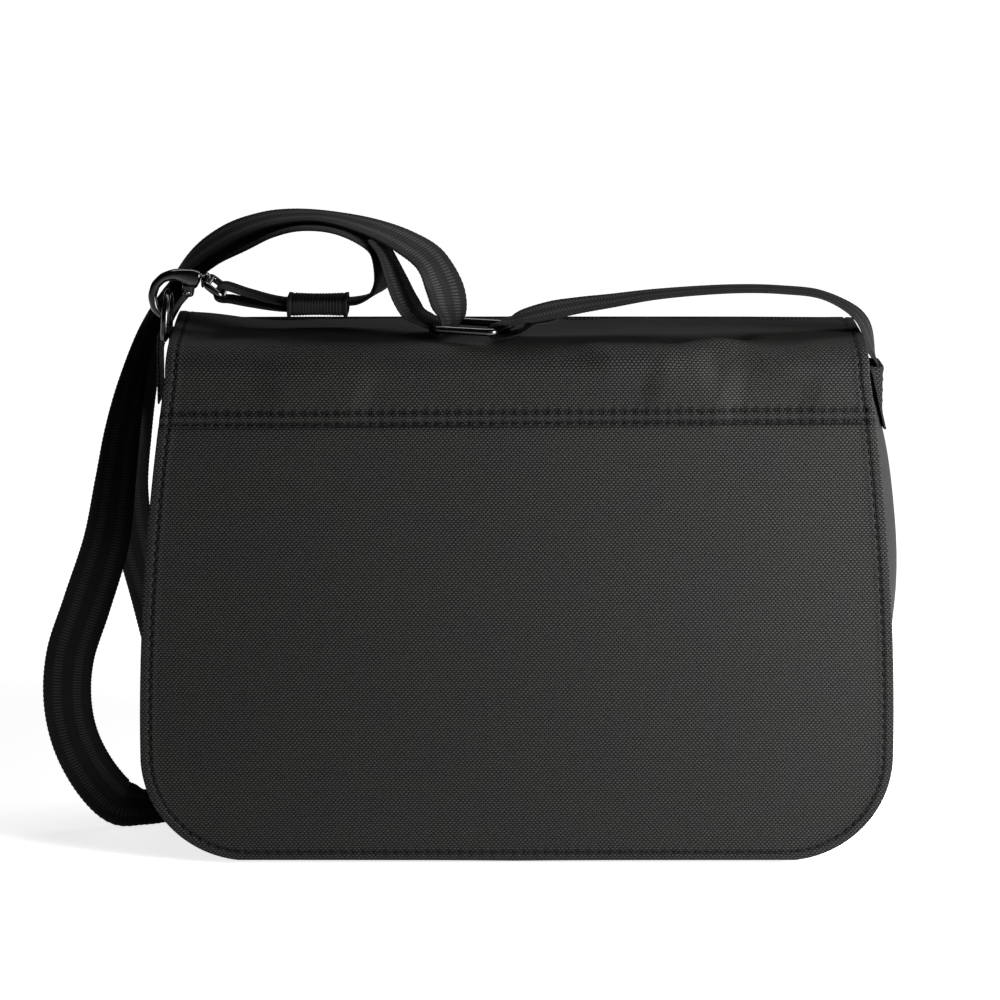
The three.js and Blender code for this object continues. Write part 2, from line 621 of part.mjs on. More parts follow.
// Long length: sewn end in the sleeve, round the swivel eye, back through the sleeve, over in a curl to
// the left side, down behind the bag, along the ground, up the left side, over the top in an arch, round
// the ring's left bar and up under itself.
const STRAP_LONG = [
  [-90, 2, 276.8, 0, 0], [-117, 2, 276.8, 0, 0], [-134, 2, 279.2, 0, 0], [-143.5, 2, 281, 0, 0],
  [-147, 2, 281.2, 0, 0], [-149.4, 2, 282.2, 0, 0], [-150.4, 2, 284.5, 0, 0], [-149.4, 2, 286.8, 0, 0],
  [-147, 2, 287.8, 0, 0], [-134, 2, 283.9, 0, 0], [-117, 2, 279.8, 0, 0], [-83, 2, 279.8, 0, 0],
  [-75.5, 0.5, 281.6, 6, 0], [-69, -1, 286, 18, 0], [-65.5, -2, 292.5, 25, 0], [-66, -2, 300, 25, 0],
  [-69.5, -1, 306.3, 16, 2], [-76.5, 0, 311.3, 8, 4], [-90.3, 2, 316.4, 0, 4], [-105.6, 6, 317.6, 0, 5],
  [-120.5, 12, 314.6, -2, 8], [-135.6, 18, 308, -5, 11], [-150.9, 26, 300.4, -8, 12],
  [-163, 31, 291.5, -14, 12], [-174, 33, 278, -20, 13], [-183.5, 37, 261, -26, 11],
  [-190.5, 40, 237, -33, 9], [-196.5, 41, 208, -44, 6], [-200.5, 43, 176, -52, 0],
  [-198.5, 47, 144, -63, 0], [-191, 54, 112, -78, 0], [-183, 62, 76, -90, 0], [-174, 67, 42, -94, 0],
  [-172.5, 64.5, 24, -95, 6], [-173.5, 57.5, 13, -88, 15], [-177.5, 46, 9, -72, 24],
  [-183, 35, 8.4, -60, 28], [-190, 26.5, 8.2, -41, 30], [-198.5, 20.5, 10.6, -13, 42],
  [-207.5, 18, 13, 35, 52], [-218.5, 17, 24.8, 71, 40], [-229, 16, 46, 87, 20], [-233, 16, 68, 90, 3],
  [-231, 16, 92, 90, -11], [-222, 17.5, 119, 81, -18], [-211, 20, 153, 66, -14], [-206, 23, 184, 50, -8],
  [-202, 26, 210, 40, -9], [-196.5, 28.5, 236, 27, -7], [-187.5, 30.5, 264, 13, -6],
  [-175.5, 31, 286.2, 0, 0], [-163.4, 30, 298.8, -9, 11], [-149.8, 28, 308.4, -9, 16],
  [-135.6, 24, 315.2, -5, 14], [-120.4, 19.5, 319.6, -2, 10], [-98, 13, 321.2, 0, 5], [-74, 6, 317, 4, 12],
  [-56, 0, 310.2, 13, 18], [-43, -6, 301.6, 27, 18], [-36.2, -9.5, 289, 42, 12],
  [-33.7, -12.8, 279.5, 42, 0], [-32.4, -14.9, 272.4, 24, 0], [-33.7, -14.6, 267.9, 20, 0],
  [-36.1, -13.7, 266.9, 20, 0], [-38.5, -12.8, 267.9, 20, 0], [-39.8, -12.3, 270.2, 20, 0],
  [-44.5, -11.9, 272.4, 22, 0], [-51, -11, 276, 26, 0], [-55.5, -9.8, 282.5, 26, 0],
  [-60, -7, 292.5, 22, 0], [-63.6, -4.5, 301, 16, 0], [-66.8, -2.8, 306.8, 12, 2],
  [-70.5, -1.2, 310.8, 6, 4],
];

// ---- assembly -----------------------------------------------------------------------------------

const bag = new THREE.Group();

function add(name, geometry, material) {
  const mesh = new THREE.Mesh(geometry, material);
  mesh.name = name;
  bag.add(mesh);
}

function addShell() {
  const frontPanel = panel(BODY, 0, 0, FRONT_PANEL_TOP_Z, PANEL_FRONT, PANEL_THICK);
  add('front_panel', frontPanel, cloth(CLOTH.canvas));
  const backPanel = panel(BODY, 0, 0, FLAP_TOP_Z, BACK_FACE - CANVAS, CANVAS);
  add('back_panel', backPanel, cloth(CLOTH.canvas));
  add('gusset', gusset(), cloth(CLOTH.side));
  add('seam_binding_front', seamBinding(GUSSET_FRONT), cloth(CLOTH.lining));
  add('seam_binding_back', seamBinding(GUSSET_BACK - BINDING.width), cloth(CLOTH.lining));
  const { halfWidth, frontY, backY, z, thick } = BOARD;
  add('base_board', box(-halfWidth, halfWidth, frontY, backY, z, z + thick), cloth(CLOTH.board));
  add('front_pocket', frontPocket(), cloth(CLOTH.canvas));
}

function addInterior() {
  add('lining', lining(), cloth(CLOTH.lining));
  add('mouth_binding', mouthBinding(), cloth(CLOTH.webbing));
  add('slip_pocket', patchPocket(SLIP_POCKET), cloth(CLOTH.lining));
  add('pen_pocket', patchPocket(PEN_POCKET), cloth(CLOTH.lining));
  add('zip_pocket', zipPocket(), cloth(CLOTH.lining));
  add('zip_tape', zipTape(), cloth(CLOTH.webbing));
  add('zip_slider', zipSlider(), metal(METAL.nickel));
  add('zip_puller', zipPuller(), metal(METAL.nickel));
}

function addFlap() {
  const topY = [FOLD_Y + FLAP_RELIEF, BACK_FACE - CANVAS - GAP];
  const top = box(-FLAP.halfTop, FLAP.halfTop, ...topY, FLAP_TOP_Z - CANVAS, FLAP_TOP_Z);
  add('flap_top', top, cloth(CLOTH.canvas));
  const frontTopZ = FOLD_Z - FLAP_RELIEF;
  const yoke = panel(FLAP, 0, YOKE_SEAM_Z + GAP, frontTopZ, FACE_FRONT + GAP, CANVAS - GAP);
  add('flap_yoke', yoke, cloth(CLOTH.canvas));
  add('flap_face', panel(FLAP, 0, FLAP.bottomZ, YOKE_SEAM_Z, FACE_FRONT, CANVAS), cloth(CLOTH.canvas));
  const liningFront = FACE_FRONT + CANVAS + GAP;
  const flapLining = panel(FLAP, 3, FLAP.bottomZ, frontTopZ, liningFront, LINING_CLOTH);
  add('flap_lining', flapLining, cloth(CLOTH.lining));
}

function addClosures() {
  for (const [side, x] of [['left', -SNAP_X], ['right', SNAP_X]]) {
    add(`snap_socket_${side}`, snapSocket(x), metal(METAL.nickel));
    add(`snap_magnet_${side}`, snapMagnet(x), metal(METAL.magnet));
    add(`snap_stud_${side}`, snapStud(x), metal(METAL.nickel));
  }
}

function addStrap() {
  add('strap_tab_right', strapTabRight(), cloth(CLOTH.canvas));
  add('strap_tab_left', strapTabLeft(), cloth(CLOTH.canvas));
  add('d_ring', dRing(), metal(METAL.gunmetal));
  add('hook_body', hookBody(), metal(METAL.gunmetal));
  add('hook_gate', hookGate(), metal(METAL.gunmetal));
  add('hook_gate_pin', hookPin(), metal(METAL.nickel));
  add('hook_eye', hookEye(), metal(METAL.gunmetal));
  add('strap_sleeve', strapSleeve(), cloth(CLOTH.webbing));
  add('adjuster_ring', adjusterRing(), metal(METAL.gunmetal));
  add('strap_short', webbing(STRAP_SHORT), cloth(CLOTH.webbing));
  add('strap_long', webbing(STRAP_LONG), cloth(CLOTH.webbing));
}

addShell();
addInterior();
addFlap();
addClosures();
addStrap();

export default bag;
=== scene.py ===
"""The looks of a canvas messenger bag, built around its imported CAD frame.

Metres, with +Z up. The flap faces -Y, and +X is to the right seen from the front.
A piece of cloth is drawn in cloth coordinates: u across it and v up or along it. Its place function turns
u, v and a lift off the cloth's outer side into a point.
"""

import math

import bpy
import numpy as np
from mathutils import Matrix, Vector


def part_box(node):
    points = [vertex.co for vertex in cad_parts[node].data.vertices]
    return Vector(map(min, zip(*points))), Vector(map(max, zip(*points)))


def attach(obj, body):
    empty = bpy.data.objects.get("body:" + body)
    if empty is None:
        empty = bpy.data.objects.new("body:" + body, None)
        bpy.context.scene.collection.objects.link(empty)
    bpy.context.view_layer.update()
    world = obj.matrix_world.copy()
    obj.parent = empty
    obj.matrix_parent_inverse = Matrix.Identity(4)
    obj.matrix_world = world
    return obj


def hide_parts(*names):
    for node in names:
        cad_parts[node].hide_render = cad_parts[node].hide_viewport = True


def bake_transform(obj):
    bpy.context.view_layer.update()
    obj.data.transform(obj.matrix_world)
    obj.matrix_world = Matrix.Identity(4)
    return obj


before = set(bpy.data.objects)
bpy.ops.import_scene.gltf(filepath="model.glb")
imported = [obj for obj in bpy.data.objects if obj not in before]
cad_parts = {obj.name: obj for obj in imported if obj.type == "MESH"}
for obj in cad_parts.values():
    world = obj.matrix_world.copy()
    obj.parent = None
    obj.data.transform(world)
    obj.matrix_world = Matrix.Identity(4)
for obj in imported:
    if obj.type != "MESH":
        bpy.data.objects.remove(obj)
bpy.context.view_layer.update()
MM = 0.001

# ---- camera, light and floor ---------------------------------------------------------------------

CAMERA_AT = (-0.0084, -1.6, 0.521)
CAMERA_DOWN = 12.09  # degrees below the horizon
CAMERA_LENS = 116.1  # on a 36 mm wide sensor
# Each light's place, what it faces, its width and height, and its power.
LIGHTS = {
    "key_right": ((0.58, -0.35, 0.335), (0.10, -0.04, 0.14), (0.35, 0.5), 19),
    "front_fill": ((0.35, -2.2, 0.5), (0.05, 0, 0.13), (1.2, 0.8), 0.3),
    "top_soft": ((0, 0.13, 0.56), (0, 0.02, 0.27), (0.5, 0.12), 1.1),
}
WORLD = 0.02
FLOOR_GLOW = (0.8, 1.02)  # near the bag and away from it
FLOOR_HALF = 20.0


def add_camera():
    camera = bpy.data.objects.new("camera", bpy.data.cameras.new("camera"))
    camera.data.lens = CAMERA_LENS
    camera.data.sensor_width = 36
    camera.location = CAMERA_AT
    camera.rotation_euler = (math.radians(90 - CAMERA_DOWN), 0, 0)
    bpy.context.scene.collection.objects.link(camera)
    bpy.context.scene.camera = camera


def add_area_light(name, at, towards, size, power):
    light = bpy.data.lights.new(name, "AREA")
    light.shape = "RECTANGLE"
    light.size, light.size_y = size
    light.energy = power
    lamp = bpy.data.objects.new(name, light)
    lamp.location = at
    lamp.rotation_euler = (Vector(towards) - Vector(at)).to_track_quat("-Z", "Y").to_euler()
    bpy.context.scene.collection.objects.link(lamp)


def floor_material():
    """White paper that also glows, more so away from the bag. Well in front of the bag it glows little."""
    n = Nodes("floor")
    x, y, _ = n.split(n.solid())
    away = n.math("SQRT", n.math("ADD", n.math("MULTIPLY", x, x), n.math("MULTIPLY", y, y)))
    n.set((0.8, 0.8, 0.8), 0.9, 0.1)
    n.shader.inputs["Emission Color"].default_value = (1, 1, 1, 1)
    glow = n.range(away, 0.35, 0.9, *FLOOR_GLOW)
    in_front = n.range(y, -1.2, -0.27, 0.4, 1.0)
    n.feed(n.shader.inputs["Emission Strength"], n.math("MULTIPLY", glow, in_front))
    return n.material


def add_studio():
    for name, (at, towards, size, power) in LIGHTS.items():
        add_area_light(name, at, towards, size, power)
    world = bpy.data.worlds.new("studio")
    world.use_nodes = True
    background = world.node_tree.nodes["Background"]
    background.inputs["Color"].default_value = (1, 1, 1, 1)
    background.inputs["Strength"].default_value = WORLD
    bpy.context.scene.world = world
    bpy.context.scene.view_settings.view_transform = "Standard"
    corners = np.array([(-1, -1, 0), (1, -1, 0), (1, 1, 0), (-1, 1, 0)]) * FLOOR_HALF
    floor = mesh_object("floor", corners, [(0, 1, 2, 3)], floor_material())


# ---- mesh tools ----------------------------------------------------------------------------------


def mesh_object(name, points, faces, material, cloth=None):
    """A smooth-shaded mesh. cloth holds each point's cloth coordinates, which the weaves follow."""
    mesh = bpy.data.meshes.new(name)
    mesh.from_pydata(np.asarray(points).reshape(-1, 3).tolist(), [], [tuple(f) for f in faces])
    mesh.materials.append(material)
    if cloth is not None:
        attribute = mesh.attributes.new("cloth", "FLOAT_VECTOR", "POINT")
        attribute.data.foreach_set("vector", np.asarray(cloth, np.float32).ravel())
    mesh.shade_smooth()
    obj = bpy.data.objects.new(name, mesh)
    bpy.context.scene.collection.objects.link(obj)
    return obj


def grid_faces(rows, cols, first=0, flip=False, wrap=False):
    """Quads between the points of a grid. wrap joins the last column to the first."""
    i, j = np.meshgrid(np.arange(rows - 1), np.arange(cols if wrap else cols - 1), indexing="ij")
    a = first + i * cols + j
    b = first + i * cols + (j + 1) % cols
    quads = np.stack([a, b, b + cols, a + cols], -1).reshape(-1, 4)
    if flip:
        quads = quads[:, ::-1]
    return quads.tolist()


def unit(v):
    return v / np.maximum(np.linalg.norm(v, axis=-1, keepdims=True), 1e-12)


def smooth(x, low, high):
    t = np.clip((x - low) / (high - low), 0, 1)
    return t * t * (3 - 2 * t)


def bell(x, middle, width):
    return np.exp(-(((x - middle) / width) ** 2))


def steps(start, stop, step):
    return np.linspace(start, stop, max(2, round(abs(stop - start) / step) + 1))


def waves(u, v, size, seed):
    """Gentle seeded unevenness of about unit height, with waves near size long."""
    r = np.random.default_rng(seed)
    total = np.zeros(np.broadcast(u, v).shape)
    for _ in range(7):
        turn = r.uniform(0, 2 * math.pi)
        phase = r.uniform(0, 2 * math.pi)
        length = size * r.uniform(0.7, 1.6)
        total += np.sin(2 * math.pi * (u * math.cos(turn) + v * math.sin(turn)) / length + phase)
    return total / 4


def signed_power(t, power):
    """A power that keeps the sign. It turns the sine and cosine of a circle into those of a rounded box."""
    return np.sign(t) * np.abs(t) ** power


def circle(sides, power_c=1.0, power_s=1.0):
    """Cosines and sines round a circle, or round a rounded box where the powers are below 1."""
    turns = np.linspace(0, 2 * math.pi, sides, endpoint=False)
    return signed_power(np.cos(turns), power_c), signed_power(np.sin(turns), power_s)


def run_along(line):
    """How far along a line each of its points lies."""
    return np.concatenate([[0], np.cumsum(np.linalg.norm(np.diff(line, axis=0), axis=1))])


def points_at(line, at):
    """A line's points at the given distances along it."""
    run = run_along(line)
    return np.stack([np.interp(at, run, line[:, k]) for k in range(line.shape[1])], -1)


def even_loop(points, step, rounds, least=0):
    """A closed line's points, spaced evenly and then eased, without a repeated last point."""
    close = np.concatenate([points, points[:1]])
    length = run_along(close)[-1]
    loop = points_at(close, np.linspace(0, length, max(least, int(length / step)), endpoint=False))
    for _ in range(rounds):
        loop = (np.roll(loop, 1, 0) + 2 * loop + np.roll(loop, -1, 0)) / 4
    return loop


def tube_faces(rows, cols, first=0):
    """Quads round a tube of rows rings with cols points each, and a flat face at both ends."""
    start = tuple(range(first, first + cols))
    end = tuple(k + (rows - 1) * cols for k in start)
    return grid_faces(rows, cols, first, wrap=True) + [start[::-1], end]


def rim_faces(near, far):
    """Quads between two closed loops of point numbers."""
    return np.stack([near, np.roll(near, -1), np.roll(far, -1), far], -1).tolist()


def closed_sheet(name, outer, inner, cloth, material):
    """A thin closed cloth from grids of its two sides, with a rounded edge all round."""
    rows, cols, _ = outer.shape
    i = np.concatenate([np.zeros(cols - 1), np.arange(rows - 1), np.full(cols - 1, rows - 1),
                        np.arange(rows - 1, 0, -1)]).astype(int)
    j = np.concatenate([np.arange(cols - 1), np.full(rows - 1, cols - 1), np.arange(cols - 1, 0, -1),
                        np.zeros(rows - 1)]).astype(int)
    edge_out = outer[i, j]
    edge_in = inner[i, j]
    inward = outer[np.clip(i, 1, rows - 2), np.clip(j, 1, cols - 2)]
    away = unit(edge_out - inward)
    middle = (edge_out + edge_in) / 2
    half = np.linalg.norm(edge_out - edge_in, axis=1, keepdims=True) / 2
    rings = []
    for turn in (45, 90, 135):
        a = math.radians(turn)
        rings.append(middle + away * half * math.sin(a) + (edge_out - middle) * math.cos(a))
    count = rows * cols
    points = np.concatenate([outer.reshape(-1, 3), inner.reshape(-1, 3)] + rings)
    faces = grid_faces(rows, cols) + grid_faces(rows, cols, count, flip=True)
    loops = [i * cols + j]
    loops += [2 * count + k * len(i) + np.arange(len(i)) for k in range(3)]
    loops += [count + i * cols + j]
    for near, far in zip(loops, loops[1:]):
        faces += rim_faces(far, near)
    flat = cloth.reshape(-1, 3)
    coords = np.concatenate([flat, flat] + [cloth[i, j]] * 3)
    return mesh_object(name, points, faces, material, coords)


def tube_mesh(name, path, radius, material, sides, closed=False, across=(0, 0, 1)):
    """A round bar along a path. radius is one number or one for each point."""
    path = np.asarray(path, float)
    count = len(path)
    if closed:
        along = unit(np.roll(path, -1, 0) - np.roll(path, 1, 0))
    else:
        along = unit(np.gradient(path, axis=0))
    side = unit(np.cross(along, across))
    over = np.cross(side, along)
    c, s = circle(sides)
    size = np.broadcast_to(np.asarray(radius, float), (count,))[:, None, None]
    points = path[:, None] + (side[:, None] * c[:, None] + over[:, None] * s[:, None]) * size
    if closed:
        faces = (np.array(grid_faces(count + 1, sides, wrap=True)) % (count * sides)).tolist()
    else:
        faces = tube_faces(count, sides)
    return mesh_object(name, points, faces, material)


def arc_points(centre, radius, start, stop, count):
    """Points of an arc in a plane, as pairs. Angles in degrees."""
    a = np.radians(np.linspace(start, stop, count))
    return np.stack([centre[0] + radius * np.cos(a), centre[1] + radius * np.sin(a)], -1)


def rounded_loop(half_a, half_b, corner):
    """A rounded rectangle's outline, as pairs, without a repeated last point."""
    a, b = half_a - corner, half_b - corner
    corners = enumerate([(a, b), (-a, b), (-a, -b), (a, -b)])
    return np.concatenate([arc_points(at, corner, 90 * k, 90 * k + 90, 7) for k, at in corners])


def belongs(piece, body, slot, *cad):
    """Attaches a piece to the body that it rides and hides the CAD nodes that it stands for. The slot is not
    used.
    """
    if cad:
        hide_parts(*cad)
    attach(piece, body)


# ---- materials -----------------------------------------------------------------------------------


class Nodes:
    """A material under construction, with short names for the nodes that the materials share."""

    def __init__(self, name):
        self.material = bpy.data.materials.new(name)
        self.material.use_nodes = True
        self.tree = self.material.node_tree
        self.shader = self.tree.nodes["Principled BSDF"]

    def add(self, kind, **settings):
        node = self.tree.nodes.new(kind)
        for key, value in settings.items():
            setattr(node, key, value)
        return node

    def feed(self, socket, value):
        if isinstance(value, bpy.types.NodeSocket):
            self.tree.links.new(value, socket)
        else:
            socket.default_value = value

    def math(self, operation, a, b=0.0):
        node = self.add("ShaderNodeMath", operation=operation)
        self.feed(node.inputs[0], a)
        self.feed(node.inputs[1], b)
        return node.outputs[0]

    def cloth(self):
        """The cloth coordinates stored with the mesh."""
        return self.add("ShaderNodeAttribute", attribute_name="cloth").outputs["Vector"]

    def solid(self):
        """The object's own coordinates, for metal and for CAD nodes."""
        return self.add("ShaderNodeTexCoord").outputs["Object"]

    def split(self, vector):
        node = self.add("ShaderNodeSeparateXYZ")
        self.feed(node.inputs[0], vector)
        return node.outputs

    def noise(self, vector, size, detail=3.0, roughness=0.55):
        node = self.add("ShaderNodeTexNoise")
        self.feed(node.inputs["Vector"], vector)
        node.inputs["Scale"].default_value = 1 / size
        node.inputs["Detail"].default_value = detail
        node.inputs["Roughness"].default_value = roughness
        return node.outputs["Fac"]

    def paint(self, socket, colour):
        self.feed(socket, colour if isinstance(colour, bpy.types.NodeSocket) else (*colour, 1))

    def mix(self, factor, a, b):
        node = self.add("ShaderNodeMix", data_type="RGBA")
        self.feed(node.inputs["Factor"], factor)
        self.paint(node.inputs["A"], a)
        self.paint(node.inputs["B"], b)
        return node.outputs["Result"]

    def weighted(self, a, weight_a, b, weight_b):
        return self.math("ADD", self.math("MULTIPLY", a, weight_a), self.math("MULTIPLY", b, weight_b))

    def range(self, value, low, high, to_low=0.0, to_high=1.0):
        node = self.add("ShaderNodeMapRange")
        for socket, number in zip(node.inputs, (value, low, high, to_low, to_high)):
            self.feed(socket, number)
        return node.outputs[0]

    def bump(self, height, depth, strength=1.0):
        node = self.add("ShaderNodeBump")
        node.inputs["Distance"].default_value = depth
        node.inputs["Strength"].default_value = strength
        self.feed(node.inputs["Height"], height)
        self.feed(self.shader.inputs["Normal"], node.outputs[0])

    def set(self, base, rough, specular):
        self.paint(self.shader.inputs["Base Color"], base)
        self.feed(self.shader.inputs["Roughness"], rough)
        self.feed(self.shader.inputs["Specular IOR Level"], specular)


def yarn_lattice(n, vector, across, along):
    """Pillows of yarn laid like bricks: 1 on their crowns and 0 between them."""
    x, y, _ = n.split(vector)
    v = n.math("DIVIDE", y, along)
    odd = n.math("FLOORED_MODULO", n.math("FLOOR", v), 2.0)
    u = n.math("ADD", n.math("DIVIDE", x, across), n.math("MULTIPLY", odd, 0.5))
    hump_u = n.math("SINE", n.math("MULTIPLY", n.math("FRACT", u), math.pi))
    hump_v = n.math("SINE", n.math("MULTIPLY", n.math("FRACT", v), math.pi))
    return n.math("MULTIPLY", hump_u, hump_v)


def wobbled(n, vector, size, reach):
    """The coordinates, shifted a little, so that yarns don't run dead straight."""
    noise = n.add("ShaderNodeTexNoise")
    n.feed(noise.inputs["Vector"], vector)
    noise.inputs["Scale"].default_value = 1 / size
    centred = n.add("ShaderNodeVectorMath", operation="SUBTRACT")
    n.feed(centred.inputs[0], noise.outputs["Color"])
    centred.inputs[1].default_value = (0.5, 0.5, 0.5)
    shift = n.add("ShaderNodeVectorMath", operation="SCALE")
    n.feed(shift.inputs[0], centred.outputs[0])
    shift.inputs["Scale"].default_value = reach
    total = n.add("ShaderNodeVectorMath", operation="ADD")
    n.feed(total.inputs[0], vector)
    n.feed(total.inputs[1], shift.outputs[0])
    return total.outputs[0]


GROOVE_SHADE_SCALE = 1 * MM  # the third cloth coordinate where the painted shade along stitch rows is darkest
CANVAS_GAP = (0.0022, 0.0022, 0.0022)
CANVAS_CROWN = (0.0150, 0.0149, 0.0143)
CANVAS_GROOVE_SHADE = (0.0008, 0.0008, 0.0008)  # painted shade along a stitch row and at the yoke's lower edge
CANVAS_YARN = (2.1 * MM, 1.16 * MM)  # across and along
CANVAS_DEPTH = 0.26 * MM
TWILL_PITCH = 1.1 * MM
RUNG_PITCH = 1.55 * MM  # of the webbing's two ladders
RIB_PITCH = 0.8 * MM  # of the fine diagonal all over it
LADDER_X = 5.2 * MM  # from the webbing's middle to each ladder's


def canvas_material(name):
    """Coarse duck canvas with a slightly waxed face, and painted shade along its stitch rows."""
    n = Nodes(name)
    vector = n.cloth()
    yarn = yarn_lattice(n, wobbled(n, vector, 7 * MM, 0.9 * MM), *CANVAS_YARN)
    fibre = n.noise(vector, 0.5 * MM, 2.0)
    blotch = n.noise(vector, 38 * MM, 4.0)
    painted_shade = n.split(vector)[2]
    crown = n.range(n.weighted(yarn, 0.75, fibre, 0.45), 0.3, 0.95)
    faded = tuple(0.82 * c for c in CANVAS_CROWN)
    waxed = tuple(share * c for share, c in zip((1.06, 1.05, 0.96), CANVAS_CROWN))
    colour = n.mix(crown, CANVAS_GAP, n.mix(n.range(blotch, 0.35, 0.68), faded, waxed))
    # Painted shade: the third cloth coordinate darkens the canvas along stitch rows and at the yoke's lower
    # edge.
    colour = n.mix(n.range(painted_shade, 0.0, 0.8 * GROOVE_SHADE_SCALE), colour, CANVAS_GROOVE_SHADE)
    rough = n.range(blotch, 0.3, 0.7, 0.6, 0.7)
    n.set(colour, rough, n.range(crown, 0.0, 1.0, 0.06, 0.22))
    n.bump(n.math("ADD", yarn, n.math("MULTIPLY", fibre, 0.35)), CANVAS_DEPTH)
    return n.material


def twill_material(name, dark, light, from_mesh=False):
    """Smooth cloth with fine diagonal lines, for linings, tapes and the side."""
    n = Nodes(name)
    vector = n.cloth() if from_mesh else n.solid()
    x, y, z = n.split(vector)
    slope = n.math("ADD", n.math("ADD", x, y), z)
    line = n.math("SINE", n.math("MULTIPLY", slope, 2 * math.pi / TWILL_PITCH))
    height = n.math("MULTIPLY", n.math("ADD", line, 1.0), 0.5)
    blotch = n.noise(vector, 30 * MM, 3.0)
    fibre = n.noise(vector, 0.6 * MM, 2.0)
    tone = n.weighted(height, 0.5, blotch, 0.6)
    n.set(n.mix(n.range(tone, 0.2, 0.9), dark, light), 0.7, 0.25)
    n.bump(n.math("ADD", height, n.math("MULTIPLY", fibre, 0.3)), 0.12 * MM)
    return n.material


def webbing_material(name, dark, light):
    """Ribbed webbing: a fine diagonal all over, and two ladders of rungs along it."""
    n = Nodes(name)
    vector = n.cloth()
    x, y, _ = n.split(vector)
    rung_wave = n.math("SINE", n.math("MULTIPLY", y, 2 * math.pi / RUNG_PITCH))
    rung = n.math("MULTIPLY", n.math("ADD", rung_wave, 1.0), 0.5)
    from_middle = n.math("ABSOLUTE", x)
    from_ladder = n.math("ABSOLUTE", n.math("SUBTRACT", from_middle, LADDER_X))
    ladder = n.math("SUBTRACT", 1.0, n.range(from_ladder, 1.6 * MM, 2.6 * MM))
    zigzag = n.math("ADD", y, n.math("MULTIPLY", from_middle, 1.2))
    diagonal = n.math("SINE", n.math("MULTIPLY", zigzag, 2 * math.pi / RIB_PITCH))
    height = n.weighted(rung, n.range(ladder, 0.0, 1.0, 0.15, 0.7), diagonal, 0.12)
    blotch = n.noise(vector, 20 * MM, 3.0)
    tone = n.weighted(height, 0.7, blotch, 0.35)
    n.set(n.mix(n.range(tone, 0.1, 0.9), dark, light), 0.6, n.range(height, 0.1, 0.9, 0.05, 0.25))
    n.bump(height, 0.14 * MM)
    return n.material


def thread_material():
    n = Nodes("thread")
    twist = n.noise(n.solid(), 0.4 * MM, 2.0)
    n.set(n.mix(twist, (0.0008, 0.0008, 0.0008), (0.005, 0.005, 0.005)), 0.6, 0.06)
    n.bump(twist, 0.08 * MM)
    return n.material


def metal_material(name, base, rough, metallic=1.0, coat=0.0):
    """Plated casting: slightly uneven, with fine handling marks in its gloss."""
    n = Nodes(name)
    marks = n.noise(n.solid(), 1.6 * MM, 5.0, 0.65)
    cloud = n.noise(n.solid(), 9 * MM, 2.0)
    colour = n.mix(cloud, tuple(0.8 * c for c in base), tuple(1.2 * c for c in base))
    n.set(colour, n.range(marks, 0.3, 0.75, rough * 0.75, rough * 1.35), 0.5)
    n.shader.inputs["Metallic"].default_value = metallic
    n.shader.inputs["Coat Weight"].default_value = coat
    n.shader.inputs["Coat Roughness"].default_value = 0.15
    n.bump(marks, 0.03 * MM, 0.6)
    return n.material


LINING_TONES = ((0.02, 0.02, 0.022), (0.05, 0.05, 0.053))
CANVAS = canvas_material("canvas")
SIDE_CLOTH = twill_material("side_cloth", (0.0010, 0.0011, 0.0012), (0.0047, 0.0049, 0.0053), from_mesh=True)
LINING = twill_material("lining", *LINING_TONES, from_mesh=True)
LINING_CAD = twill_material("lining_flat", *LINING_TONES)
TAPE_CAD = twill_material("tape_flat", (0.005, 0.005, 0.005), (0.016, 0.016, 0.016))
BOARD_CAD = twill_material("board_flat", (0.05, 0.045, 0.04), (0.09, 0.08, 0.07))
WEBBING = webbing_material("webbing", (0.0040, 0.0040, 0.0040), (0.0145, 0.0143, 0.0143))
SLEEVE_CLOTH = webbing_material("sleeve", (0.003, 0.003, 0.0031), (0.020, 0.020, 0.0205))
THREAD = thread_material()
GUNMETAL = metal_material("gunmetal", (0.045, 0.045, 0.048), 0.22, coat=0.2)
NICKEL = metal_material("nickel", (0.30, 0.30, 0.31), 0.3)
MAGNET = metal_material("magnet", (0.05, 0.05, 0.052), 0.6, metallic=0.4)


# ---- outlines and hems ---------------------------------------------------------------------------

HEM = 4.5 * MM  # stitch line to edge
PITCH = 5.4 * MM  # stitch to stitch
STITCH_LENGTH = 3.4 * MM
THREAD_RADIUS = 0.55 * MM
THREAD_SINK = 0.45 * MM  # how deep a stitch's ends dip into the cloth
THREAD_ARCH = 0.62 * MM  # how far its middle stands above its ends
SIDE_CURVE = 1.9  # how late the sides lean in towards the top
# Distances from an edge of the grid's fine rows.
FINE = np.array([0, 0.6, 1.3, 2.1, 2.9, 3.6, 4.1, 4.5, 4.9, 5.4, 6.1, 7, 8.3, 10, 12, 14]) * MM


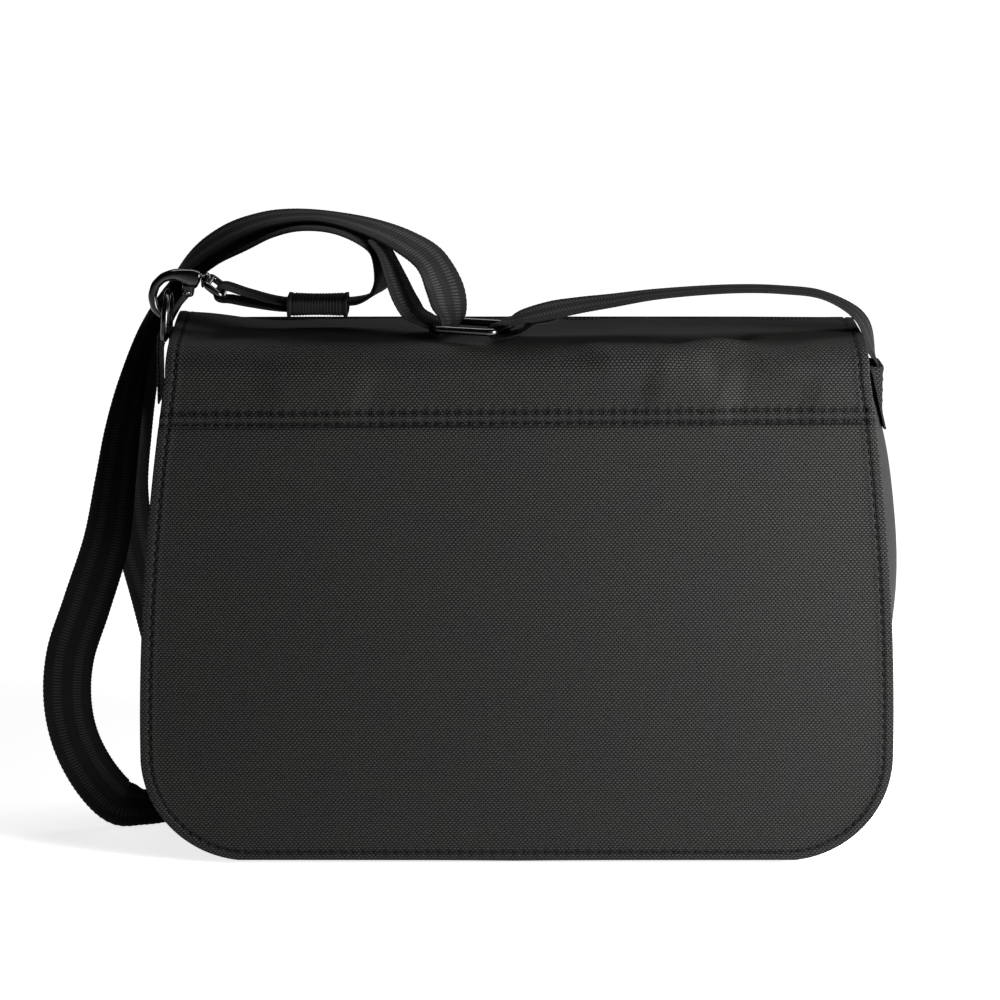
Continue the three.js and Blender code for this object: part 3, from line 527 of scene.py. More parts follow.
class Outline:
    """A panel that narrows upwards and has round lower corners. v runs up from its lower edge."""

    def __init__(self, half_low, half_top, tall, corner):
        self.half_low, self.half_top = half_low, half_top
        self.tall, self.corner = tall, corner

    def half(self, v):
        lean = np.clip((v - self.corner) / (self.tall - self.corner), 0, 1.2) ** SIDE_CURVE
        side = self.half_low - (self.half_low - self.half_top) * lean
        below = np.clip(self.corner - v, 0, self.corner)
        return side - self.corner + np.sqrt(self.corner ** 2 - below ** 2)

    def edge(self, u, v):
        """Distance from the side and lower edges, and the run along them from the middle of the bottom."""
        u = np.abs(u)
        straight = self.half_low - self.corner
        dx, dv = u - straight, self.corner - v
        cornering = (dx > 0) & (dv > 0)
        inside = self.corner - np.hypot(dx, dv)
        distance = np.where(cornering, inside, np.minimum(self.half(v) - u, v))
        angle = np.arctan2(np.clip(dx, 0, None), np.clip(dv, 1e-9, None))
        run = straight + self.corner * angle + np.clip(v - self.corner, 0, None)
        on_bottom = (dx <= 0) & (v < self.half(v) - u)
        return distance, np.where(on_bottom, u, run)

    def line(self, inset, top):
        """The line inset from the edge, from the left top round the bottom to the right top."""
        r = self.corner - inset
        straight = self.half_low - self.corner
        corner = arc_points((straight, self.corner), r, -90, 0, 40)
        v = steps(self.corner, top, MM)[1:]
        side = np.stack([self.half(v) - inset, v], -1)
        u = steps(0, straight, MM)
        bottom = np.stack([u, np.full(len(u), inset)], -1)
        right = np.concatenate([bottom, corner[1:], side])
        return np.concatenate([(right * (-1, 1))[::-1], right[1:]])

    def grid(self, low, high, step, fine_top=False):
        """Cloth coordinates of a grid over the panel, finer near its sides, its foot and perhaps its top."""
        near, reach = FINE[:-1], FINE[-1]
        v = np.concatenate([low + near, steps(low + reach, high - (reach if fine_top else 0), step)])
        if fine_top:
            v = np.concatenate([v, (high - near)[::-1]])
        half = self.half(v)[:, None]
        middle = np.linspace(-1, 1, round(2 * self.half_low / step)) * (half - reach)
        left = near - half
        u = np.concatenate([left, middle, -left[:, ::-1]], axis=1)
        return u, v[:, None] + 0 * u


def pucker(run):
    """1 where a stitch pulls the cloth in and 0 between stitches."""
    return 0.5 - 0.5 * np.cos(2 * math.pi * run / PITCH)


def pull(offset, run):
    """How far a row of stitches, offset away, pulls the cloth in: 1 on the row at a stitch."""
    return bell(offset, 0, 1.0 * MM) * (0.5 + 0.5 * pucker(run))


def hem_relief(distance, run, fold=0.5 * MM, groove=1.0 * MM):
    """Doubled cloth along an edge, drawn in along its stitch line and puckered between stitches."""
    doubled = fold * (1 - smooth(distance, HEM + 0.5 * MM, HEM + 2.5 * MM))
    puffed = 0.25 * MM * bell(distance, HEM, 2.4 * MM) * (1 - pucker(run))
    return doubled - groove * pull(distance - HEM, run) + puffed


def row_relief(offset, run):
    """A single straight row of stitches, offset away."""
    return 0.25 * MM * bell(offset, 0, 2.2 * MM) * (1 - pucker(run)) - 1.1 * MM * pull(offset, run)


def stitches(name, lines, place, relief, thick=THREAD_RADIUS):
    """Rows of thread stitches along lines of cloth coordinates. Both ends of each dip into the cloth."""
    taper = np.array([0.55, 0.95, 1, 0.95, 0.55])
    count, sides = len(taper), 6
    spans = []
    for line in lines:
        middles = np.arange(PITCH / 2, run_along(line)[-1], PITCH)
        spans.append(points_at(line, middles[:, None] + np.linspace(-0.5, 0.5, count) * STITCH_LENGTH))
    span = np.concatenate(spans)
    u, v = span[..., 0], span[..., 1]
    base = relief(u, v)
    centre = place(u, v, base - THREAD_SINK + np.sin(np.linspace(0, math.pi, count)) * THREAD_ARCH)
    out = unit(place(u, v, base + MM) - place(u, v, base))
    side = unit(np.cross(unit(np.gradient(centre, axis=1)), out))
    c, s = circle(sides)
    ring = side[..., None, :] * c[:, None] + out[..., None, :] * s[:, None]
    points = centre[..., None, :] + ring * (thick * taper)[:, None, None]
    faces = []
    for k in range(len(span)):
        faces += tube_faces(count, sides, k * count * sides)
    return mesh_object(name, points, faces, THREAD)


# ---- flap ----------------------------------------------------------------------------------------

FLAP_BOTTOM = 2 * MM
FLAP_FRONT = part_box("flap_face")[0].y
FLAP_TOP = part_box("flap_top")[1].z
FLAP_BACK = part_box("flap_top")[1].y
ROLL = 14 * MM  # radius of the soft fold along the front top edge
ROLL_V = FLAP_TOP - ROLL - FLAP_BOTTOM  # where the face ends and the fold begins
TOP_V = ROLL_V + ROLL * math.pi / 2  # where the fold ends and the top begins
END_V = TOP_V + FLAP_BACK - FLAP_FRONT - ROLL
CLOTH = 1.1 * MM
LAP = 1.0 * MM  # how far the yoke stands off the face where it laps over it
YOKE_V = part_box("flap_yoke")[0].z - FLAP_BOTTOM - 1.2 * MM  # lower edge of the yoke
YOKE_TILT = 0.006  # the seam rises a little to the right
YOKE_ROWS = (1.1 * MM, 6.6 * MM)  # its two stitch rows, above that edge
FACE_LOW = 0.4 * MM  # lower edge of the face's cloth
FACE_TOP = YOKE_V + 9 * MM  # where the face ends under the yoke
LINING_INSET = 3.2 * MM
LINING_LOW = 3.5 * MM
LINING_DROP = 2.3 * MM  # from the canvas's outer side to the lining's


class FlapOutline(Outline):
    """The flap's outline goes on over the fold and back along the top, a little wider at the back."""

    def half(self, v):
        lower = super().half(np.minimum(v, ROLL_V))
        back = np.clip(v - ROLL_V, 0, None)
        return lower - 1.3 * MM * smooth(back, 0, 20 * MM) + 2.4 * MM * back / (END_V - ROLL_V)


FLAP = FlapOutline(188.2 * MM, 169 * MM, 264 * MM, 54 * MM)


class LiningOutline(Outline):
    """The flap's outline moved in. Its own half width only sets how many columns its grid has."""

    def half(self, v):
        return FLAP.half(v) - LINING_INSET


FLAP_INSIDE = LiningOutline(185 * MM, 167 * MM, 264 * MM, 51 * MM)


def flap_place(u, v, lift):
    """The face, the fold and the top of the flap as one surface."""
    turn = np.clip((v - ROLL_V) / ROLL, 0, math.pi / 2)
    back = np.clip(v - TOP_V, 0, None)
    y = FLAP_FRONT + ROLL * (1 - np.cos(turn)) + back - np.cos(turn) * lift
    z = FLAP_BOTTOM + np.minimum(v, ROLL_V) + np.sin(turn) * (ROLL + lift)
    return np.stack([u + 0 * y, y, z], -1)


def crease(u, v, line, width, height):
    """A soft ridge or dent along a line of cloth points, fading at both ends."""
    line = np.asarray(line) * MM
    best = np.full(np.broadcast(u, v).shape, 1e9)
    where = np.zeros_like(best)
    spans = len(line) - 1
    for k in range(spans):
        a, b = line[k], line[k + 1]
        d = b - a
        t = np.clip(((u - a[0]) * d[0] + (v - a[1]) * d[1]) / (d @ d), 0, 1)
        far = np.hypot(u - a[0] - t * d[0], v - a[1] - t * d[1])
        nearer = far < best
        best = np.where(nearer, far, best)
        where = np.where(nearer, (k + t) / spans, where)
    fade = smooth(where, 0, 0.25) * (1 - smooth(where, 0.75, 1))
    return height * MM * bell(best, 0, width * MM) * fade


def flap_form(u, v):
    """The flap's large shape: a slight belly, a crown on top and the creases of use."""
    belly = 2.2 * MM * (1 - (u / FLAP.half_low) ** 2) * np.sin(math.pi * np.clip(v / TOP_V, 0, 1))
    crown = 0.7 * MM * np.sin(math.pi * np.clip((v - TOP_V) / (END_V - TOP_V), 0, 1))
    slack = 0.55 * MM * waves(u, v, 90 * MM, 3) * smooth(v, 120 * MM, 240 * MM)
    creases = (
        crease(u, v, [(24, 266), (46, 258), (72, 259), (98, 268), (136, 286)], 8, 2.4)
        + crease(u, v, [(70, 282), (98, 268), (122, 258), (150, 250)], 8, 1.7)
        - crease(u, v, [(64, 272), (95, 280), (122, 282)], 11, 1.8)
        - crease(u, v, [(88, 248), (110, 256), (150, 264)], 11, 1.6)
        + crease(u, v, [(60, 246), (85, 238), (110, 232)], 13, 1.4)
        - crease(u, v, [(100, 245), (125, 240), (150, 236)], 12, 1.2)
        + crease(u, v, [(-70, 236), (-95, 243), (-130, 240)], 14, 1.2)
    )
    perked = 2.6 * MM * smooth(v, TOP_V - 6 * MM, END_V) * smooth(-u, 110 * MM, 168 * MM)
    uneven = 0.9 * MM * waves(u, 0 * v, 60 * MM, 8) * smooth(v, TOP_V, END_V)
    return belly + crown + slack + creases + perked + uneven


def yoke_edge(u):
    return YOKE_V + YOKE_TILT * u


def face_relief(u, v):
    distance, run = FLAP.edge(u, v)
    under = -1.2 * MM * smooth(v, yoke_edge(u) - 2.5 * MM, yoke_edge(u) + 0.5 * MM)
    return flap_form(u, v) + hem_relief(distance, run) + under


def yoke_relief(u, v):
    distance, run = FLAP.edge(u, v)
    above = v - yoke_edge(u)
    lap = LAP * (1 - smooth(above, 9 * MM, 40 * MM))
    rows = sum(row_relief(above - row, u) for row in YOKE_ROWS)
    puff = 1.0 * MM * bell(above, np.mean(YOKE_ROWS), 1.9 * MM)
    return flap_form(u, v) + hem_relief(distance, run) + lap + rows + puff


# Painted shade on the face: darkest on its hem's stitch line at a stitch.
def face_shade_map(u, v):
    distance, run = FLAP.edge(u, v)
    return pull(distance - HEM, run)


# Painted shade on the yoke, along its hem's and its seam's stitch rows.
def yoke_shade_map(u, v):
    distance, run = FLAP.edge(u, v)
    above = v - yoke_edge(u)
    rows = sum(pull(above - row, u) for row in YOKE_ROWS)
    # The bell adds a painted shadow along the yoke's lower edge.
    return np.maximum(pull(distance - HEM, run), rows) + 0.6 * bell(above, -0.3 * MM, 1.0 * MM)


# No painted shade.
def no_shade_map(u, v):
    return 0 * u


def cloth_piece(name, outline, relief, low, high, thick, material, step=1.45 * MM, painted_shade=no_shade_map, tilt=0):
    """One cloth of the flap, its lower edge tilted, from its relief and the painted shade along its stitch
    rows.
    """
    u, v = outline.grid(low, high, step)
    v = v + tilt * u * (1 - smooth(v, low, low + 40 * MM))
    height = relief(u, v)
    # The third cloth coordinate carries the painted shade.
    cloth = np.stack([u, v, GROOVE_SHADE_SCALE * painted_shade(u, v)], -1)
    return closed_sheet(name, flap_place(u, v, height), flap_place(u, v, height - thick), cloth, material)


def folds(piece, slot, *cad):
    """Hides the CAD nodes that a piece stands for and bakes its transform, for a piece between the bag's top
    and the flap's front.
    """
    if cad:
        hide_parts(*cad)
    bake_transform(piece)


def flap_lining_relief(u, v):
    return flap_form(u, v) - LINING_DROP


def hem_surface(u, v):
    """The outermost cloth: the face up to the yoke's edge and the yoke above it."""
    return np.where(v < yoke_edge(u), face_relief(u, v), yoke_relief(u, v))


def make_flap():
    face = cloth_piece("flap_face_cloth", FLAP, face_relief, FACE_LOW, FACE_TOP, CLOTH, CANVAS,
                       painted_shade=face_shade_map)
    belongs(face, "flap", "canvas", "flap_face")
    yoke = cloth_piece("flap_yoke_cloth", FLAP, yoke_relief, YOKE_V, END_V, CLOTH, CANVAS,
                       painted_shade=yoke_shade_map, tilt=YOKE_TILT)
    folds(yoke, "canvas", "flap_yoke", "flap_top")
    lining = cloth_piece("flap_lining_cloth", FLAP_INSIDE, flap_lining_relief, LINING_LOW, END_V - 2 * MM,
                         0.7 * MM, LINING, step=3 * MM)
    folds(lining, "lining", "flap_lining")
    hem = stitches("flap_hem_stitches", [FLAP.line(HEM, END_V - 2 * MM)], flap_place, hem_surface)
    folds(hem, "tape")
    rows = []
    for row in YOKE_ROWS:
        half = FLAP.half(YOKE_V + row) - HEM - 2 * MM
        u = steps(-half, half, MM)
        rows.append(np.stack([u, yoke_edge(u) + row], -1))
    seam = stitches("flap_seam_stitches", rows, flap_place, yoke_relief)
    belongs(seam, "flap", "tape")


# ---- straps --------------------------------------------------------------------------------------

WEB_WIDTH = 25 * MM
WEB_THICK = 1.7 * MM

# Each row is x, y, z, turn, rise: a point on the webbing's middle line, and the way that its width points
# there, turned from +Y towards +X and raised above the horizontal, in degrees.
STRAP_SHORT = [
    (0.1805, 0.002, 0.24, 0, 0), (0.1804, 0.002, 0.249, 0, 0), (0.1784, 0.0018, 0.2565, 12, 0),
    (0.1744, 0.0005, 0.268, 16, 0), (0.1675, -0.001, 0.2758, 12, 0), (0.152, -0.003, 0.2838, 5, 0),
    (0.1317, -0.006, 0.2868, 0, 0), (0.108, -0.009, 0.2877, 0, 0), (0.0694, -0.0135, 0.2857, 0, 2),
    (0.046, -0.0165, 0.2828, 0, 6), (0.031, -0.0185, 0.281, 0, 9), (0.0175, -0.0208, 0.2789, 4, 12),
    (0.004, -0.0233, 0.2758, 12, 10), (-0.0018, -0.0246, 0.2742, 18, 3), (-0.0069, -0.0243, 0.2736, 20, 0),
    (-0.0095, -0.0234, 0.2724, 20, 0), (-0.0104, -0.0231, 0.2702, 20, 0), (-0.0093, -0.0234, 0.2679, 20, 0),
    (-0.0068, -0.0243, 0.2669, 20, 0), (0.0022, -0.0264, 0.2692, 17, 3), (0.009, -0.0246, 0.2732, 10, 9),
    (0.016, -0.0223, 0.2763, 5, 12),
]
STRAP_LONG = [
    (-0.09, 0.002, 0.2768, 0, 0), (-0.117, 0.002, 0.2768, 0, 0), (-0.134, 0.002, 0.2792, 0, 0),
    (-0.1435, 0.002, 0.281, 0, 0), (-0.147, 0.002, 0.2812, 0, 0), (-0.1494, 0.002, 0.2822, 0, 0),
    (-0.1504, 0.002, 0.2845, 0, 0), (-0.1494, 0.002, 0.2868, 0, 0), (-0.147, 0.002, 0.2878, 0, 0),
    (-0.134, 0.002, 0.2839, 0, 0), (-0.117, 0.002, 0.2798, 0, 0), (-0.083, 0.002, 0.2798, 0, 0),
    (-0.0755, 0.0005, 0.2816, 6, 0), (-0.069, -0.001, 0.286, 18, 0), (-0.0655, -0.002, 0.2925, 25, 0),
    (-0.066, -0.002, 0.3, 25, 0), (-0.0695, -0.001, 0.3063, 16, 2), (-0.0765, 0, 0.3113, 8, 4),
    (-0.0903, 0.002, 0.3164, 0, 4), (-0.1056, 0.006, 0.3176, 0, 5), (-0.1205, 0.012, 0.3146, -2, 8),
    (-0.1356, 0.018, 0.308, -5, 11), (-0.1509, 0.026, 0.3004, -8, 12), (-0.163, 0.031, 0.2915, -14, 12),
    (-0.174, 0.033, 0.278, -20, 13), (-0.1835, 0.037, 0.261, -26, 11), (-0.1905, 0.04, 0.237, -33, 9),
    (-0.1965, 0.041, 0.208, -44, 6), (-0.2005, 0.043, 0.176, -52, 0), (-0.1985, 0.047, 0.144, -63, 0),
    (-0.191, 0.054, 0.112, -78, 0), (-0.183, 0.062, 0.076, -90, 0), (-0.174, 0.067, 0.042, -94, 0),
    (-0.1725, 0.0645, 0.024, -95, 6), (-0.1735, 0.0575, 0.013, -88, 15), (-0.1775, 0.046, 0.009, -72, 24),
    (-0.183, 0.035, 0.0084, -60, 28), (-0.19, 0.0265, 0.0082, -41, 30), (-0.1985, 0.0205, 0.0106, -13, 42),
    (-0.2075, 0.018, 0.013, 35, 52), (-0.2185, 0.017, 0.0248, 71, 40), (-0.229, 0.016, 0.046, 87, 20),
    (-0.233, 0.016, 0.068, 90, 3), (-0.231, 0.016, 0.092, 90, -11), (-0.222, 0.0175, 0.119, 81, -18),
    (-0.211, 0.02, 0.153, 66, -14), (-0.206, 0.023, 0.184, 50, -8), (-0.202, 0.026, 0.21, 40, -9),
    (-0.1965, 0.0285, 0.236, 27, -7), (-0.1875, 0.0305, 0.264, 13, -6), (-0.1755, 0.031, 0.2862, 0, 0),
    (-0.1634, 0.03, 0.2988, -9, 11), (-0.1498, 0.028, 0.3084, -9, 16), (-0.1356, 0.024, 0.3152, -5, 14),
    (-0.1204, 0.0195, 0.3196, -2, 10), (-0.098, 0.013, 0.3212, 0, 5), (-0.074, 0.006, 0.317, 4, 12),
    (-0.056, 0, 0.3102, 13, 18), (-0.043, -0.006, 0.3016, 27, 18), (-0.0362, -0.0095, 0.289, 42, 12),
    (-0.0337, -0.0128, 0.2795, 42, 0), (-0.0324, -0.0149, 0.2724, 24, 0), (-0.0337, -0.0146, 0.2679, 20, 0),
    (-0.0361, -0.0137, 0.2669, 20, 0), (-0.0385, -0.0128, 0.2679, 20, 0), (-0.0398, -0.0123, 0.2702, 20, 0),
    (-0.0445, -0.0119, 0.2724, 22, 0), (-0.051, -0.011, 0.276, 26, 0), (-0.0555, -0.0098, 0.2825, 26, 0),
    (-0.06, -0.007, 0.2925, 22, 0), (-0.0636, -0.0045, 0.301, 16, 0), (-0.0668, -0.0028, 0.3068, 12, 2),
    (-0.0705, -0.0012, 0.3108, 6, 4),
]


def between(t, low, high, a, b):
    """The value at t on the straight line from a at low to b at high."""
    return (high - t) / (high - low) * a + (t - low) / (high - low) * b


def smooth_route(rows):
    """Evenly spaced points along the route, and each point's width direction, on one smooth curve."""
    rows = np.asarray(rows, float)
    knots = np.concatenate([[0], np.cumsum(np.linalg.norm(np.diff(rows[:, :3], axis=0), axis=1) ** 0.5)])
    ends = np.concatenate([[2 * rows[0] - rows[1]], rows, [2 * rows[-1] - rows[-2]]])
    first, last = 2 * knots[0] - knots[1], 2 * knots[-1] - knots[-2]
    knots = np.concatenate([[first], knots, [last]])
    fine = []
    for k in range(1, len(ends) - 2):
        t0, t1, t2, t3 = knots[k - 1:k + 3]
        p0, p1, p2, p3 = ends[k - 1:k + 3]
        t = np.linspace(t1, t2, 24, endpoint=False)[:, None]
        a1, a2, a3 = between(t, t0, t1, p0, p1), between(t, t1, t2, p1, p2), between(t, t2, t3, p2, p3)
        fine.append(between(t, t1, t2, between(t, t0, t2, a1, a2), between(t, t1, t3, a2, a3)))
    fine = np.concatenate(fine + [rows[-1:]])
    run = run_along(fine[:, :3])
    at = steps(0, run[-1], 0.8 * MM)
    even = np.stack([np.interp(at, run, fine[:, k]) for k in range(5)], -1)
    turn, rise = np.radians(even[:, 3]), np.radians(even[:, 4])
    across = np.stack([np.cos(rise) * np.sin(turn), np.cos(rise) * np.cos(turn), np.sin(rise)], -1)
    along = unit(np.gradient(even[:, :3], axis=0))
    across = unit(across - along * (across * along).sum(1, keepdims=True))
    return even[:, :3], along, across, at


def webbing_strap(name, rows):
    """Flat webbing with rounded, slightly knobbly selvedges along a route. Also gives its line and length."""
    middle, along, across, run = smooth_route(rows)
    through = np.cross(along, across)
    flat = np.array([-1, -0.92, -0.75, -0.5, -0.25, 0, 0.25, 0.5, 0.75, 0.92, 1])
    height = 0.5 * WEB_THICK * (1 - 0.75 * np.abs(flat) ** 14)
    f = np.concatenate([flat, flat[::-1]])
    h = np.concatenate([height, -height[::-1]])
    knob = 0.16 * MM * np.sin(2 * math.pi * run / (2.3 * MM))
    half = WEB_WIDTH / 2
    width = (half + knob)[:, None]
    points = (middle[:, None] + across[:, None] * (f * width)[..., None]
              + through[:, None] * (h + 0 * width)[..., None])
    faces = [face[::-1] for face in tube_faces(len(run), len(f))]
    cloth = np.stack([f * half + 0 * width, run[:, None] + 0 * f, np.sign(h) * MM + 0 * width], -1)
    strap = mesh_object(name, points, faces, WEBBING, cloth)
    return strap, middle, run[-1]


def make_straps(fittings):
    short, short_line, short_length = webbing_strap("strap_short_web", STRAP_SHORT)
    belongs(short, "bag", "webbing", "strap_short")
    long, long_line, long_length = webbing_strap("strap_long_web", STRAP_LONG)
    belongs(long, "bag", "webbing", "strap_long")


# ---- gusset, panels and pocket -------------------------------------------------------------------

BODY = Outline(184.5 * MM, 168 * MM, 266 * MM, 52 * MM)
POCKET = Outline(150 * MM, 150 * MM, 174 * MM, 30 * MM)
POCKET_BOTTOM = 22 * MM
GUSSET_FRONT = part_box("gusset")[0].y
GUSSET_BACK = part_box("gusset")[1].y
GUSSET_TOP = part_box("gusset")[1].z
GUSSET_THICK = 1.4 * MM
BACK_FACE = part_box("back_panel")[1].y
BACK_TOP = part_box("back_panel")[1].z
FRONT_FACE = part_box("front_panel")[0].y
FRONT_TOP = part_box("front_panel")[1].z
POCKET_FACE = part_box("front_pocket")[0].y
PANEL_LOW = 0.8 * MM  # lower edge of the panels' cloth, which keeps its rounded edge off the ground
GROUND = 0.15 * MM  # the gusset goes no lower
BULGE = (3 * MM, 13 * MM)  # the most that the left and the right side swell
BULGE_Z = 168 * MM


def side_swell(x, z):
    most = np.where(x < 0, BULGE[0], BULGE[1])
    return most * np.sin(math.pi / 2 * np.clip(z, 0, None) / BULGE_Z) ** 3


def make_gusset():
    """A strip from the left top, under the bag, to the right top, with a swelling middle."""
    rail = BODY.line(0, GUSSET_TOP)
    at = steps(0, run_along(rail)[-1], 1.6 * MM)
    line = points_at(rail, at)
    x, z = line[:, :1], line[:, 1:]
    at = at[:, None]
    along = unit(np.gradient(line, axis=0))
    out_x, out_z = along[:, 1:], -along[:, :1]
    deep = GUSSET_BACK - GUSSET_FRONT
    near = np.array([0, 0.8, 1.8, 2.9, 4, 5.2, 7]) * MM
    across = np.concatenate([near, steps(9 * MM, deep - 9 * MM, 1.8 * MM), (deep - near)[::-1]])
    part = across / deep
    swell = side_swell(x, z) * 4 * part * (1 - part)
    upper = smooth(z, 40 * MM, 110 * MM)
    creased = 0.9 * MM * waves(at, across, 46 * MM, 11) * np.sin(math.pi * part) * upper
    stitched = -0.45 * MM * pull(np.minimum(across, deep - across) - 2.9 * MM, at)
    lift = swell + creased + stitched

    def side(depth):
        d = lift - depth
        return np.stack([x + out_x * d, GUSSET_FRONT + across + 0 * d, np.maximum(z + out_z * d, GROUND)], -1)

    cloth = np.stack([across + 0 * x, at + 0 * across, 0 * lift], -1)
    piece = closed_sheet("gusset_cloth", side(GUSSET_THICK), side(0), cloth, SIDE_CLOTH)
    belongs(piece, "bag", "gusset_cloth", "gusset")


def panel(cad, outline, face, sign, relief, top, thick, low=PANEL_LOW, bottom=0):
    """A flat cloth whose outer side faces -Y (sign -1) or +Y (sign 1). Gives back its place function."""

    def place(u, v, lift):
        return np.stack([u + 0 * lift, face + sign * lift + 0 * u, v + bottom + 0 * lift], -1)

    u, v = outline.grid(low, top, 2 * MM, fine_top=True)
    height = relief(u, v)
    grids = [place(u, v, height), place(u, v, height - thick), np.stack([u, v, 0 * u], -1)]
    if sign > 0:
        grids = [grid[:, ::-1] for grid in grids]
    belongs(closed_sheet(cad + "_cloth", *grids, CANVAS), "bag", "canvas", cad)
    return place


def back_relief(u, v):
    distance, run = BODY.edge(u, v)
    pillow = 1.6 * MM * smooth(distance, 4 * MM, 60 * MM)
    return pillow + hem_relief(distance, run) + 0.35 * MM * waves(u, v, 100 * MM, 21)


def front_relief(u, v):
    return hem_relief(*BODY.edge(u, v)) + hem_relief(FRONT_TOP - v, u) - 0.4 * MM


def pocket_relief(u, v):
    distance, run = POCKET.edge(u, v)
    top = POCKET.tall - v
    belly = 0.5 * MM * smooth(distance, 6 * MM, 40 * MM) * smooth(top, 0, 30 * MM)
    return belly + hem_relief(distance, run, 0.25 * MM, 0.4 * MM) + hem_relief(top, u, 0.25 * MM, 0.4 * MM)


def level_row(half, v):
    """A stitch line straight across at one height."""
    u = steps(-half, half, MM)
    return np.stack([u, np.full(len(u), v)], -1)


def make_panels():
    back = panel("back_panel", BODY, BACK_FACE, 1, back_relief, BACK_TOP, 1.2 * MM)
    rows = [BODY.line(HEM, BACK_TOP - 3 * MM)]
    belongs(stitches("back_stitches", rows, back, back_relief), "bag", "tape")
    front = panel("front_panel", BODY, FRONT_FACE, -1, front_relief, FRONT_TOP, 0.8 * MM)
    rows = [BODY.line(HEM, FRONT_TOP - 6 * MM), level_row(160 * MM, FRONT_TOP - HEM)]
    belongs(stitches("front_stitches", rows, front, front_relief), "bag", "tape")
    pocket = panel("front_pocket", POCKET, POCKET_FACE, -1, pocket_relief, POCKET.tall, 1.2 * MM,
                   low=0, bottom=POCKET_BOTTOM)
    rows = [POCKET.line(HEM, POCKET.tall - 3 * MM), level_row(142 * MM, POCKET.tall - HEM)]
    belongs(stitches("pocket_stitches", rows, pocket, pocket_relief), "bag", "tape")


# ---- strap tabs ----------------------------------------------------------------------------------

STRAP_Y = 0.002  # middle of both tabs and of the hook
LEFT_BAR = (-0.176, 0.2625)  # x and z of the D-ring's straight bar
LOOP_R = 3.6 * MM  # of the left tab's canvas round that bar
NECK_Z = 0.249  # above this the left tab leaves the bag's side
TAB_LEAST = 1.4 * MM  # least depth of the right tab
TAB_WALL = (1.5 * MM, 1.2 * MM)  # of its cloth, along x and y
TAB_SIDES = 64


def make_right_tab():
    """A folded canvas tab with a box of stitches on its outer side, its lips standing round the strap."""
    low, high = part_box("strap_tab_right")
    top = high.z - 0.3 * MM
    face_x = high.x - 1.6 * MM
    middle_y, half_y = (high.y + low.y) / 2, (high.y - low.y) / 2

    def inner_x(z):
        return BODY.half(z) + side_swell(np.ones_like(z), z) + 0.3 * MM

    z = steps(low.z, top, 1.2 * MM)[:, None]
    c, s = circle(TAB_SIDES, 0.35, 0.22)
    lip = 0.5 * MM * bell(z, top - 1.2 * MM, 1.6 * MM)
    foot = smooth(z, low.z - MM, low.z + 5 * MM)
    inner = inner_x(z)
    outer = np.maximum(face_x - 1.3 * MM * (1 - foot), inner + TAB_LEAST)

    def wall(grow_x, grow_y):
        x = (outer + inner) / 2 + ((outer - inner) / 2 + grow_x) * c
        y = middle_y + (half_y + grow_y) * s
        return np.stack([x, y + 0 * z, z + 0 * x], -1).reshape(-1, 3)

    rows, cols = len(z), TAB_SIDES
    count = rows * cols
    rim = np.arange(count - cols, count)
    faces = grid_faces(rows, cols, wrap=True) + grid_faces(rows, cols, count, flip=True, wrap=True)
    faces += rim_faces(rim, rim + count)
    faces.append(tuple(range(cols))[::-1])
    points = np.concatenate([wall(lip, 0.6 * lip), wall(-TAB_WALL[0], -TAB_WALL[1])])
    around = np.arange(cols) * 2 * math.pi / cols * 11 * MM + 0 * z
    cloth = np.stack([around, z + 0 * around, 0 * around], -1).reshape(-1, 3)
    piece = mesh_object("strap_tab_right_cloth", points, faces, CANVAS, np.concatenate([cloth, cloth]))
    belongs(piece, "bag", "canvas", "strap_tab_right")

    def side_place(u, v, lift):
        x = np.maximum(face_x, inner_x(v) + TAB_LEAST) + 0.1 * MM
        return np.stack([x + lift + 0 * u, middle_y + u + 0 * lift, v + 0 * lift], -1)

    def side_relief(u, v):
        return 0 * u - 0.2 * MM

    a, z0, z1 = half_y - 3.5 * MM, low.z + 6 * MM, top - 4 * MM
    box = [(-a, z0), (a, z0), (a, z1), (-a, z1), (-a, z0), (a, z1)]
    rows = [np.linspace(p, q, 30) for p, q in [*zip(box, box[1:]), ((-a, z1), (a, z0))]]
    belongs(stitches("tab_stitches", rows, side_place, side_relief, thick=0.35 * MM), "bag", "tape")


def make_left_tab():
    """Canvas from the side seam up round the D-ring's straight bar and down again."""
    low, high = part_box("strap_tab_left")
    bar_x, bar_z = LEFT_BAR
    down = steps(low.z, bar_z - 4 * MM, 1.2 * MM)
    outer_x = np.interp(down, [low.z, NECK_Z, bar_z], [low.x + 0.4 * MM, low.x + 0.6 * MM, bar_x - LOOP_R])
    inner_x = -(BODY.half(down) + side_swell(-np.ones_like(down), down) + 0.9 * MM)
    below = down <= NECK_Z
    neck_x = np.interp(down, [NECK_Z, bar_z], [inner_x[below][-1], bar_x + LOOP_R])
    inner_x = np.where(below, inner_x, neck_x)
    arc = arc_points(LEFT_BAR, LOOP_R, 200, -20, 20)
    line = np.concatenate([np.stack([outer_x, down], -1), arc, np.stack([inner_x, down], -1)[::-1]])
    at = steps(0, run_along(line)[-1], 0.9 * MM)
    line = points_at(line, at)
    at = at[:, None]
    along = unit(np.gradient(line, axis=0))
    half, middle_y = (high.y - low.y) / 2, (high.y + low.y) / 2
    across = np.concatenate([[-half], steps(-half + 0.5 * MM, half - 0.5 * MM, MM), [half]])
    bend = 0.3 * MM * (1 - (across / half) ** 8)

    def side(depth):
        d = bend - depth + 0 * at
        return np.stack([line[:, :1] - along[:, 1:] * d, middle_y + across + 0 * d,
                         line[:, 1:] + along[:, :1] * d], -1)

    cloth = np.stack([across + 0 * at, at + 0 * across, 0 * across + 0 * at], -1)
    piece = closed_sheet("strap_tab_left_cloth", side(0), side(1.2 * MM), cloth, CANVAS)
    belongs(piece, "bag", "canvas", "strap_tab_left")


# ---- sleeve and metalwork ------------------------------------------------------------------------

